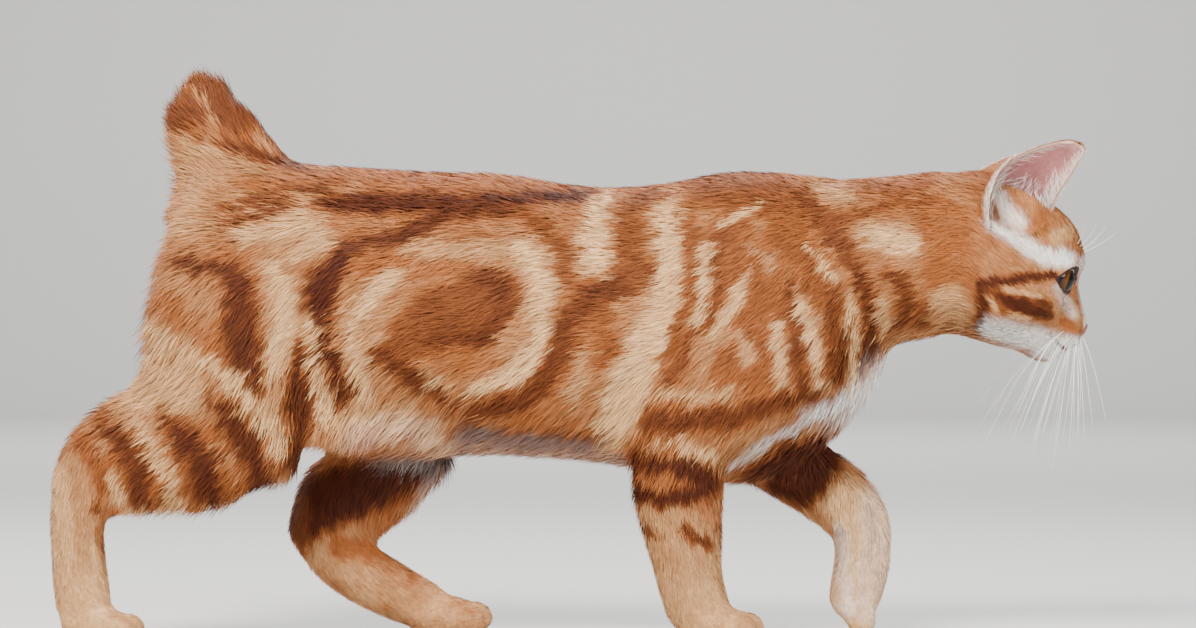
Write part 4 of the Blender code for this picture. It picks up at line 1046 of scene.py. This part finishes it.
def eyeball(name, side):
    """A ball with the cornea's swelling in front."""
    middle, look, out, up = eye_frame(side)
    rings, spokes = 48, 64
    fall = np.repeat(math.pi * np.arange(1, rings) / rings, spokes)
    turn = np.tile(2 * math.pi * np.arange(spokes) / spokes, rings - 1)
    ball = np.stack([np.sin(fall) * np.cos(turn), np.sin(fall) * np.sin(turn), np.cos(fall)], 1)
    ball = np.concatenate([ball, [(0.0, 0.0, 1.0), (0.0, 0.0, -1.0)]])
    front = np.maximum(0.0, (ball[:, 2] - CORNEA_FROM) / (1 - CORNEA_FROM))
    ball *= (EYE_RADIUS * (1 + CORNEA_RISE * front**1.2))[:, None]
    index = np.arange((rings - 1) * spokes).reshape(rings - 1, spokes)
    following = np.roll(index, -1, axis=1)
    quads = np.stack([index[:-1], index[1:], following[1:], following[:-1]], -1).reshape(-1, 4)
    poles = np.repeat((len(ball) - 2, len(ball) - 1), spokes)
    first, second = np.stack([index[0], following[-1]]), np.stack([following[0], index[-1]])
    faces = [quads, np.stack([poles, first.ravel(), second.ravel()], 1)]
    if side < 0:
        faces = [rows[:, ::-1] for rows in faces]
    return mesh_object(name, middle + ball @ np.array((out, up, look)), faces)


def ring(bm, place, first, second, radius, sides):
    """A round of points across a tube."""
    turns = 2 * math.pi * np.arange(sides)[:, None] / sides
    return [bm.verts.new(spot) for spot in place + (first * np.cos(turns) + second * np.sin(turns)) * radius]


def join_rings(bm, rings):
    """Faces between each round of points and the following one."""
    for low, high in zip(rings, rings[1:]):
        for k in range(len(low)):
            following = (k + 1) % len(low)
            bm.faces.new((low[k], low[following], high[following], high[k]))


def tube(bm, path, radii, sides=6):
    """Adds a thin round tube along the path, closed at both ends."""
    along = unit(np.gradient(path, axis=0))
    start = np.array((0.0, 0.0, 1.0)) if abs(along[0][2]) < 0.9 else np.array((1.0, 0.0, 0.0))
    rings = []
    for place, way, radius in zip(path, along, radii):
        across = unit(np.cross(way, start))
        rings.append(ring(bm, place, across, np.cross(way, across), radius, sides))
    join_rings(bm, rings)
    bm.faces.new(rings[0][::-1])
    bm.faces.new(rings[-1])


def lid_rim(name, side):
    """The moist edge of both lids round the eye."""
    middle, look, out, up = eye_frame(side)
    turns = np.linspace(0, 2 * math.pi, 72, endpoint=False)
    across = np.cos(turns)
    top, bottom = lid_edges(across)
    height = np.where(np.sin(turns) >= 0, top, bottom) * 0.96
    flat = out * (across * EYE_OPENING[0] * 0.49)[:, None] + up * height[:, None]
    ahead = np.sqrt(np.maximum((EYE_RADIUS + LID_RISE / 2) ** 2 - np.sum(flat**2, axis=1), 1e-8))
    bm = bmesh.new()
    rings = []
    for away in flat + look * ahead[:, None]:
        near = unit(away - look * np.dot(away, look))
        rings.append(ring(bm, middle + away, unit(away), near, LID_RIM_RADIUS, 8))
    join_rings(bm, rings + rings[:1])
    bmesh.ops.recalc_face_normals(bm, faces=bm.faces)
    return new_object(name, bm)


def smooth_between(stations, steps):
    """Catmull-Rom through the stations, each a row of numbers, with steps rows for each gap."""
    rows = np.array(stations, float)
    ends = np.vstack([2 * rows[0] - rows[1], rows, 2 * rows[-1] - rows[-2]])
    t = np.arange(steps)[:, None] / steps
    found = []
    for a, b, c, d in zip(ends, ends[1:], ends[2:], ends[3:]):
        bend = (2 * a - 5 * b + 4 * c - d) * t**2 + (3 * b - a - 3 * c + d) * t**3
        found.append(0.5 * (2 * b + (c - a) * t + bend))
    return np.vstack(found + [rows[-1:]])


def ear_grid(side, across, steps):
    """Points of the ear's middle surface, row by row from its root to its tip, in the cat's frame."""
    faces = unit(np.array((*EAR_FACES, 0.0)))
    wide = np.array((faces[1], -faces[0], 0.0))
    rows = []
    for height, x, y, half_width, depth, degrees in smooth_between(EAR_STATIONS, steps):
        reach = math.radians(degrees)
        turn = reach * np.linspace(-1, 1, across + 1)
        out = half_width * np.sin(turn) / math.sin(min(reach, math.pi / 2))
        back = depth * (np.cos(turn) - math.cos(reach)) / (1 - math.cos(reach))
        spot = np.array((x, y, height)) + wide * out[:, None] - faces * back[:, None]
        spot[:, 1] *= side
        rows.append(to_cat(spot))
    return np.array(rows)


# Where the inner and the outer face start on the ear's unwrap
EAR_PATCHES = (0.02, 0.52)


def ear_patch(across, height, start):
    """Places on the ear's unwrap, from how far across, -1 to 1, and how high, 0 to 1, they are."""
    return np.stack([(across * 0.5 + 0.5) * 0.46 + start, height * 0.96 + 0.02], 1)


def make_ear(name, side):
    """A thin cup of skin: the inner face is bare and pink, the outer one and the rims are furred."""
    across = EAR_COLUMNS
    grid = ear_grid(side, across, EAR_STEPS)
    rows = len(grid)
    up = unit(np.gradient(grid, axis=0))
    over = unit(np.gradient(grid, axis=1))
    normal = unit(np.cross(up, over)) * side
    # The normal points into the cup
    rim = np.abs(np.linspace(-1, 1, across + 1))[None, :]
    height = np.linspace(0, 1, rows)[:, None]
    edge = np.minimum(1 - rim, (1 - height) * 1.5)
    thick = EAR_THIN + EAR_THICKER * ramp(0.0, 0.20, edge)
    ripple = 0.0003 * np.sin(height * 26 + 6 * rim) * ramp(0.0, 0.3, edge)
    inner = grid + normal * (thick + ripple)[..., None]
    outer = grid - normal * thick[..., None]
    points = np.concatenate([inner.reshape(-1, 3), outer.reshape(-1, 3)])
    size = rows * (across + 1)
    index = np.arange(size).reshape(rows, across + 1)
    a, b, c, d = index[:-1, :-1], index[:-1, 1:], index[1:, 1:], index[1:, :-1]
    front = np.stack([a, d, c, b], -1).reshape(-1, 4)
    back = front[:, ::-1] + size
    border = np.concatenate([index[0, :], index[1:, -1], index[-1, -2::-1], index[-2:0:-1, 0]])
    following = np.roll(border, -1)
    sides = np.stack([border, following, following + size, border + size], 1)
    if side < 0:
        front, back, sides = front[:, ::-1], back[:, ::-1], sides[:, ::-1]
    ear = mesh_object(name, points, [front, back, sides])
    height = np.repeat(np.linspace(0, 1, rows), across + 1)
    rim = np.tile(np.linspace(-1, 1, across + 1), rows)
    pale = (0.55 * ramp(0.55, 1.0, np.abs(rim)) + 0.35 * ramp(0.60, 1.0, height))[:, None]
    pink = blend(PINK, EAR_RIM, pale)
    # Painted shade: the inner face darkens towards the root, deep in the cup
    shade = (0.30 + 0.70 * ramp(0.12, 0.55, height))[:, None]
    outer_tone = ORANGE * 0.95 + CREAM * 0.1
    paint(ear, np.concatenate([pink * shade, np.tile(outer_tone, (size, 1))]))
    unwrap(ear, np.concatenate([ear_patch(rim, height, start) for start in EAR_PATCHES]))
    return ear, grid, normal


def ear_hair(name, grid, normal):
    """Short fur on the ear's back, and long pale hair inside its rims."""
    rows, columns = grid.shape[:2]
    row_step, column_step = np.gradient(grid, axis=0), np.gradient(grid, axis=1)
    up, over = unit(row_step), unit(column_step)
    area = np.linalg.norm(np.cross(row_step, column_step), axis=2)

    def pick(count, weight):
        """Rows and columns drawn by their area and weight, and places round them."""
        chances = (area * weight).ravel()
        cells = rng.choice(rows * columns, count, p=chances / chances.sum())
        r, c = cells // columns, cells % columns
        jitter = rng.uniform(-0.5, 0.5, (count, 2))
        return r, c, grid[r, c] + row_step[r, c] * jitter[:, :1] + column_step[r, c] * jitter[:, 1:]

    scale = 1
    height = np.linspace(0, 1, rows)
    across = np.linspace(-1, 1, columns)
    # Back
    r, c, spot = pick(EAR_BACK_TUFTS // scale, np.ones((rows, columns)))
    length = 0.0052 - 0.0026 * height[r]
    colours = ORANGE * 0.9 + (CREAM - ORANGE) * (0.35 * np.abs(across[c]) ** 2)[:, None]
    colours += 0.05 * noise(spot, 0.006, 31)[:, None]
    pale = (0.75 * ramp(0.70, 1.0, np.abs(across[c])) * (1 - ramp(0.70, 0.92, height[r])))[:, None]
    colours = blend(colours, WHITE * (0.92, 0.84, 0.80), pale)
    colours *= (1 + 0.10 * ramp(0.8, 1.0, height[r]))[:, None]
    colours *= rng.uniform(0.8, 1.2, len(r))[:, None]
    ways = up[r, c] + over[r, c] * (0.25 * across[c])[:, None]
    pieces = grow(name + "_back", spot - normal[r, c] * EAR_HAIR_ROOT, -normal[r, c], ways, length,
                  np.full(len(r), 0.00034), np.full(len(r), 0.34), np.clip(colours, 0.02, 0.9),
                  ear_patch(across[c], height[r], EAR_PATCHES[1]))
    # Inside, along both rims and at the root
    front = np.abs(across)[None, :] ** 6 + 0.5 * (1 - ramp(0.10, 0.42, height))[:, None]
    front = front * (1 - 0.85 * ramp(0.55, 0.95, height))[:, None]
    r, c, spot = pick(EAR_INNER_TUFTS // scale, front)
    inward = -np.sign(across[c])[:, None] * over[r, c]
    ways = up[r, c] * 0.8 + inward * 0.45 + over[r, c] * rng.uniform(-0.35, 0.35, (len(r), 1))
    length = (0.0115 - 0.0065 * height[r]) * rng.uniform(0.5, 1.1, len(r))
    colours = WHITE * (1.0, 0.95, 0.92) * rng.uniform(0.72, 1.0, len(r))[:, None]
    pieces += grow(name + "_inner", spot + normal[r, c] * EAR_HAIR_ROOT, normal[r, c], ways, length,
                   np.full(len(r), 0.00020), np.full(len(r), 0.70), colours,
                   ear_patch(across[c], height[r], EAR_PATCHES[0]), bend=0.18)
    return pieces


# Nose leather: its middle, half width, and heights above and below
NOSE_MIDDLE = np.array((0.0535, 0.0, -0.0112))
NOSE_SIZES = (0.0060, 0.0033, 0.0046)


def make_nose():
    """The leather of the nose, over the head's own nostrils."""
    rings, spokes = 26, 72
    turns = np.linspace(0, 2 * math.pi, spokes, endpoint=False)
    wide, above, below = NOSE_SIZES
    # Wide above, narrow towards the cleft under it
    half_width = wide * (1 - 0.28 * np.maximum(0, -np.sin(turns)) ** 2)
    half_height = np.where(np.sin(turns) > 0, above, below)
    spots = [NOSE_MIDDLE[None]]
    for k in range(1, rings + 1):
        r = k / rings
        y = r * half_width * np.cos(turns)
        z = NOSE_MIDDLE[2] + r * half_height * np.sin(turns)
        spots.append(np.stack([np.full(spokes, NOSE_MIDDLE[0]), y, z], 1))
    points = on_head(np.concatenate(spots))
    share = np.concatenate([[0.0], np.repeat(np.arange(1, rings + 1) / rings, spokes)])
    outward = unit(points - HEAD_SEED)
    points = points + outward * (0.00030 * (1 - share**6) - 0.0004 * ramp(0.93, 1.0, share))[:, None]
    back = points[-spokes:] - outward[-spokes:] * 0.0015
    points = to_cat(np.concatenate([points, back, [points[0] - outward[0] * 0.003]]))
    following = (np.arange(spokes) + 1) % spokes
    fans = [np.stack([np.zeros(spokes, int), 1 + np.arange(spokes), 1 + following], 1)]
    quads = []
    for k in range(rings):
        low = 1 + k * spokes + np.stack([np.arange(spokes), following])
        quads.append(np.stack([low[0], low[0] + spokes, low[1] + spokes, low[1]], 1))
    last = len(points) - 1
    rim = last - spokes
    fans.append(np.stack([np.full(spokes, last), rim + following, rim + np.arange(spokes)], 1))
    return mesh_object("nose_leather", points, [np.concatenate(fans), np.concatenate(quads)])


# Whiskers: the height and count of each row on the pads, and the count over each eye
WHISKER_ROWS = ((-0.0145, 5), (-0.0170, 6), (-0.0195, 6), (-0.0218, 5))
BROW_WHISKERS = 4


def make_whiskers():
    """Long white whiskers from both pads, and short ones over the eyes."""
    bm = bmesh.new()
    steps = np.linspace(0, 1, 9)
    for side in (1.0, -1.0):
        for row, (z, count) in enumerate(WHISKER_ROWS):
            for k in range(count):
                along = k / (count - 1)
                guess = (0.0455 - 0.0150 * along, side * (0.0085 + 0.0070 * along), z - 0.0015 * along)
                root = on_head(np.array([guess]))[0]
                fan = 0.42 - 0.95 * along + 0.10 * rng.standard_normal()
                way = unit(np.array((fan, side * (0.72 - 0.04 * row), -0.55 - 0.25 * row)))
                length = 0.030 + 0.022 * math.sin(math.pi * (0.25 + 0.6 * along))
                length += 0.003 * rng.standard_normal()
                sag = 0.34 + 0.08 * rng.standard_normal()
                path = root - way * 0.0012 + way * (length * steps)[:, None]
                down = FROM_CAT[:3, :3] @ np.array((-0.10, 0.0, -1.0))
                path = path + down * (length * sag * steps**2)[:, None]
                tube(bm, to_cat(path), 0.00019 * (1 - steps) ** 0.7 + 0.00003)
        for k in range(BROW_WHISKERS):
            root = on_head(np.array([[0.0260 - 0.002 * k, side * (0.0110 + 0.0022 * k), 0.0190]]))[0]
            rise = 0.75 + 0.05 * rng.standard_normal()
            way = unit(np.array((0.75 - 0.25 * k, side * (0.30 + 0.15 * k), rise)))
            length = 0.024 - 0.002 * k
            path = root - way * 0.001 + way * (length * steps)[:, None]
            path[:, 0] -= length * 0.22 * steps**2
            tube(bm, to_cat(path), 0.00013 * (1 - steps) ** 0.7 + 0.000025)
    return new_object("whiskers", bm)


VECTOR = "ShaderNodeVectorMath"
# Colours of the iris by distance from its middle, in its own radii, out to IRIS_REACH: amber, kept dark as
# painted shade of the upper lid
IRIS_REACH = 1.2
IRIS_BANDS_AND_SHADE = (
    (0.30, (0.026, 0.018, 0.005)), (0.58, (0.078, 0.038, 0.008)), (0.82, (0.090, 0.034, 0.007)),
    (0.98, (0.050, 0.020, 0.006)), (1.08, (0.012, 0.008, 0.006)),
)
PUPIL = (0.004, 0.003, 0.003)


def plain(name, roughness, colour=(0.8, 0.8, 0.8)):
    """A material, with its tree and its Principled shader."""
    made = bpy.data.materials.new(name)
    made.use_nodes = True
    tree = made.node_tree
    shader = tree.nodes["Principled BSDF"]
    shader.inputs["Roughness"].default_value = roughness
    shader.inputs["Base Color"].default_value = (*colour, 1.0)
    return made, tree, shader


def node(tree, kind, operation=None, *places, **named):
    """A node with its inputs set, by order or by name, to numbers, colours or other nodes' outputs."""
    made = tree.nodes.new(kind)
    if operation:
        made.operation = operation
    sockets = list(zip(made.inputs, places))
    sockets += [(made.inputs[key.replace("_", " ")], value) for key, value in named.items()]
    for socket, value in sockets:
        if isinstance(value, bpy.types.NodeSocket):
            tree.links.new(value, socket)
        else:
            socket.default_value = value
    return made


def painted(name, roughness, speck, specular=0.35, bump=0.0, bump_scale=900.0):
    """A material that takes its colour from the paint on the mesh, a little mottled, with fine bumps."""
    made, tree, shader = plain(name, roughness)
    colour = node(tree, "ShaderNodeVertexColor")
    colour.layer_name = "Colour"
    place = node(tree, "ShaderNodeTexCoord").outputs["Object"]
    mottle = node(tree, "ShaderNodeTexNoise", Vector=place, Scale=420.0, Detail=3.0).outputs["Fac"]
    level = node(tree, "ShaderNodeMapRange", Value=mottle, From_Min=0.3, From_Max=0.7,
                 To_Min=1.0 - speck, To_Max=1.0 + speck).outputs["Result"]
    tinted = node(tree, VECTOR, "SCALE", colour.outputs["Color"], Scale=level)
    tree.links.new(tinted.outputs["Vector"], shader.inputs["Base Color"])
    shader.inputs["Specular IOR Level"].default_value = specular
    if bump:
        grain = node(tree, "ShaderNodeTexNoise", Vector=place, Scale=bump_scale, Detail=4.0).outputs["Fac"]
        raised = node(tree, "ShaderNodeBump", Strength=1.0, Distance=bump, Height=grain)
        tree.links.new(raised.outputs["Normal"], shader.inputs["Normal"])
    return made


def colour_bands(tree, value, stops):
    """Colours that change with the value, from stop to stop."""
    bands = node(tree, "ShaderNodeValToRGB", Fac=value)
    ends = bands.color_ramp.elements
    while len(ends) < len(stops):
        ends.new(0.5)
    for end, (at, colour) in zip(ends, stops):
        end.position = at
        end.color = (*colour, 1.0)
    return bands.outputs["Color"]


def leather_material():
    """The nose's leather: two pinks, with fine pebbles."""
    made, tree, shader = plain("nose_leather", 0.42)
    place = node(tree, "ShaderNodeTexCoord").outputs["Object"]
    cells = node(tree, "ShaderNodeTexVoronoi", Vector=place, Scale=1900.0).outputs["Distance"]
    tone = node(tree, "ShaderNodeTexNoise", Vector=place, Scale=260.0, Detail=3.0).outputs["Fac"]
    shades = colour_bands(tree, tone, ((0.35, (0.190, 0.045, 0.040)), (0.65, (0.340, 0.110, 0.095))))
    tree.links.new(shades, shader.inputs["Base Color"])
    raised = node(tree, "ShaderNodeBump", Strength=0.6, Distance=0.00012, Height=cells)
    tree.links.new(raised.outputs["Normal"], shader.inputs["Normal"])
    shader.inputs["Coat Weight"].default_value = 0.25
    shader.inputs["Coat Roughness"].default_value = 0.25
    return made


def eye_material(name, side):
    """Amber iris, kept dark as painted shade of the upper lid, round a dark upright pupil, painted by the
    direction from the middle of the eye.
    """
    made, tree, shader = plain(name, 0.06)
    middle, _, out, up = eye_frame(side, IRIS_LOOK)
    place = node(tree, "ShaderNodeTexCoord").outputs["Object"]
    away = node(tree, VECTOR, "SUBTRACT", place, middle).outputs["Vector"]

    def radius(wide, high):
        """How far out each place is, 1 at an ellipse of these half sizes, and its place across it."""
        parts = [
            node(tree, VECTOR, "DOT_PRODUCT", away, axis / size).outputs["Value"]
            for axis, size in ((out, wide), (up, high))
        ]
        flat = node(tree, "ShaderNodeCombineXYZ", None, *parts).outputs["Vector"]
        return node(tree, VECTOR, "LENGTH", flat).outputs["Value"], flat

    iris, flat = radius(IRIS_RADIUS, IRIS_RADIUS)
    pupil, _ = radius(*PUPIL_RADII)
    fibres = node(tree, "ShaderNodeTexNoise", Vector=flat, Scale=9.0, Detail=3.0).outputs["Fac"]
    stirred = node(tree, "ShaderNodeMath", "MULTIPLY_ADD", fibres, 0.25, iris).outputs["Value"]
    scaled = node(tree, "ShaderNodeMath", "DIVIDE", stirred, IRIS_REACH).outputs["Value"]
    bands = colour_bands(tree, scaled, [(at / IRIS_REACH, colour) for at, colour in IRIS_BANDS_AND_SHADE])
    dark = node(tree, "ShaderNodeMapRange", Value=pupil, From_Min=0.92, From_Max=1.05).outputs["Result"]
    mixed = tree.nodes.new("ShaderNodeMix")
    mixed.data_type = "RGBA"
    mixed.inputs["A"].default_value = (*PUPIL, 1.0)
    tree.links.new(dark, mixed.inputs["Factor"])
    tree.links.new(bands, mixed.inputs["B"])
    tree.links.new(mixed.outputs["Result"], shader.inputs["Base Color"])
    shader.inputs["Specular IOR Level"].default_value = 0.0
    shader.inputs["Coat Weight"].default_value = 0.6
    shader.inputs["Coat Roughness"].default_value = 0.02
    shader.inputs["Coat IOR"].default_value = 1.36
    return made


# Name, place, what it faces, size, power and colour of each light
LIGHTS = (
    ("key", (-0.55, -1.7, 1.55), (0.0, 0.0, 0.12), 0.9, 105.0, (1.0, 0.97, 0.92)),
    ("fill", (1.5, -1.4, 0.8), (0.1, 0.0, 0.15), 1.0, 36.0, (0.94, 0.97, 1.0)),
    ("top", (0.1, 0.9, 1.7), (0.0, 0.0, 0.15), 0.8, 44.0, (1.0, 1.0, 1.0)),
    ("back", (-1.9, 0.5, 1.0), (-0.1, 0.0, 0.15), 0.9, 30.0, (1.0, 1.0, 1.0)),
    ("wall", (0.0, 3.0, 2.6), (0.0, 5.6, 0.3), 2.0, 130.0, (1.0, 1.0, 1.0)),
)
FLOOR_REACH = 9.0
# Where the floor starts to rise, the radius of its curve and the height of the wall
WALL_WAY, WALL_CURVE, WALL_HEIGHT = 5.2, 0.8, 3.5


def make_studio():
    """A plain floor that rises behind the cat, pale surroundings, soft lights and the camera."""
    bm = bmesh.new()
    turns = np.linspace(0, math.pi / 2, 13)
    profile = [(-FLOOR_REACH, 0.0)]
    profile += list(zip(WALL_WAY + WALL_CURVE * np.sin(turns), WALL_CURVE * (1 - np.cos(turns))))
    profile.append((WALL_WAY + WALL_CURVE, WALL_HEIGHT))
    rows = [[bm.verts.new((x, y, z)) for y, z in profile] for x in (-FLOOR_REACH, FLOOR_REACH)]
    for k in range(len(profile) - 1):
        bm.faces.new((rows[0][k], rows[1][k], rows[1][k + 1], rows[0][k + 1]))
    floor = new_object("floor", bm)
    floor.data.materials.append(plain("floor", 0.7, (0.62, 0.61, 0.59))[0])
    world = bpy.data.worlds.new("studio")
    world.use_nodes = True
    world.node_tree.nodes["Background"].inputs["Color"].default_value = (0.80, 0.84, 0.90, 1.0)
    world.node_tree.nodes["Background"].inputs["Strength"].default_value = 0.36
    scene.world = world
    for name, place, aim, size, power, colour in LIGHTS:
        lamp = bpy.data.lights.new(name, "AREA")
        lamp.shape = "DISK"
        lamp.size = size
        lamp.energy = power
        lamp.color = colour
        obj = add_object(name, lamp)
        obj.location = place
        obj.rotation_euler = (Vector(aim) - Vector(place)).to_track_quat("-Z", "Y").to_euler()
    camera = bpy.data.cameras.new("camera")
    camera.sensor_width = SENSOR
    camera.lens = SENSOR * CAMERA_WAY / (FRAME_WIDTH * PIXEL)
    camera.clip_start = 0.05
    obj = add_object("camera", camera)
    obj.location = (CAMERA_X, -CAMERA_WAY, CAMERA_Z)
    obj.rotation_euler = (math.radians(90), 0.0, 0.0)
    scene.camera = obj


def finish_piece(piece, finish):
    """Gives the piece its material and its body."""
    piece.data.materials.append(finish)
    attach(piece, "root")
    return piece


def main():
    """Makes the studio and all the pieces, each with its material and body."""
    make_studio()
    hair = painted("coat", 0.62, 0.08, specular=0.14)
    skin = make_skin()
    points = points_of(skin)
    bare = bare_share(points)[:, None]
    pads = ((points[:, 2] < PADS_TOP) & (normals_of(skin)[:, 2] < -0.2))[:, None]
    # Painted shade: the skin under the coat is the coat's colour, darkened
    tone = blend(coat_colour(points) * UNDERCOAT_PAINTED_SHADE, PINK * BARE_SHADE, bare)
    tone = np.where(pads, PINK * PAD_SHADE, tone)
    lined = (eye_share(points, LINER_MARGIN) > 0)[:, None]
    paint(skin, np.where(lined, LINER, tone))
    finish_piece(skin, painted("skin", 0.75, 0.22, specular=0.2, bump=0.0006, bump_scale=700.0))
    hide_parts(*FLESH)
    for piece in make_coat(skin):
        finish_piece(piece, hair)
    ear_skin = painted("ear_skin", 0.55, 0.12, bump=0.0002, bump_scale=500.0)
    rim = plain("lid_rim", 0.25, (0.045, 0.018, 0.014))[0]
    for side, label in ((1.0, "left"), (-1.0, "right")):
        ear, grid, normal = make_ear("ear_skin_" + label, side)
        finish_piece(ear, ear_skin)
        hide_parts("ear_" + label)
        for piece in ear_hair("ear_hair_" + label, grid, normal):
            finish_piece(piece, hair)
        eye = finish_piece(eyeball("eyeball_" + label, side), eye_material("eye_" + label, side))
        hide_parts("eye_" + label)
        finish_piece(lid_rim("lid_rim_" + label, side), rim)
    finish_piece(make_nose(), leather_material())
    whisker = plain("whisker", 0.35, (0.86, 0.84, 0.80))[0]
    finish_piece(make_whiskers(), whisker)


main()
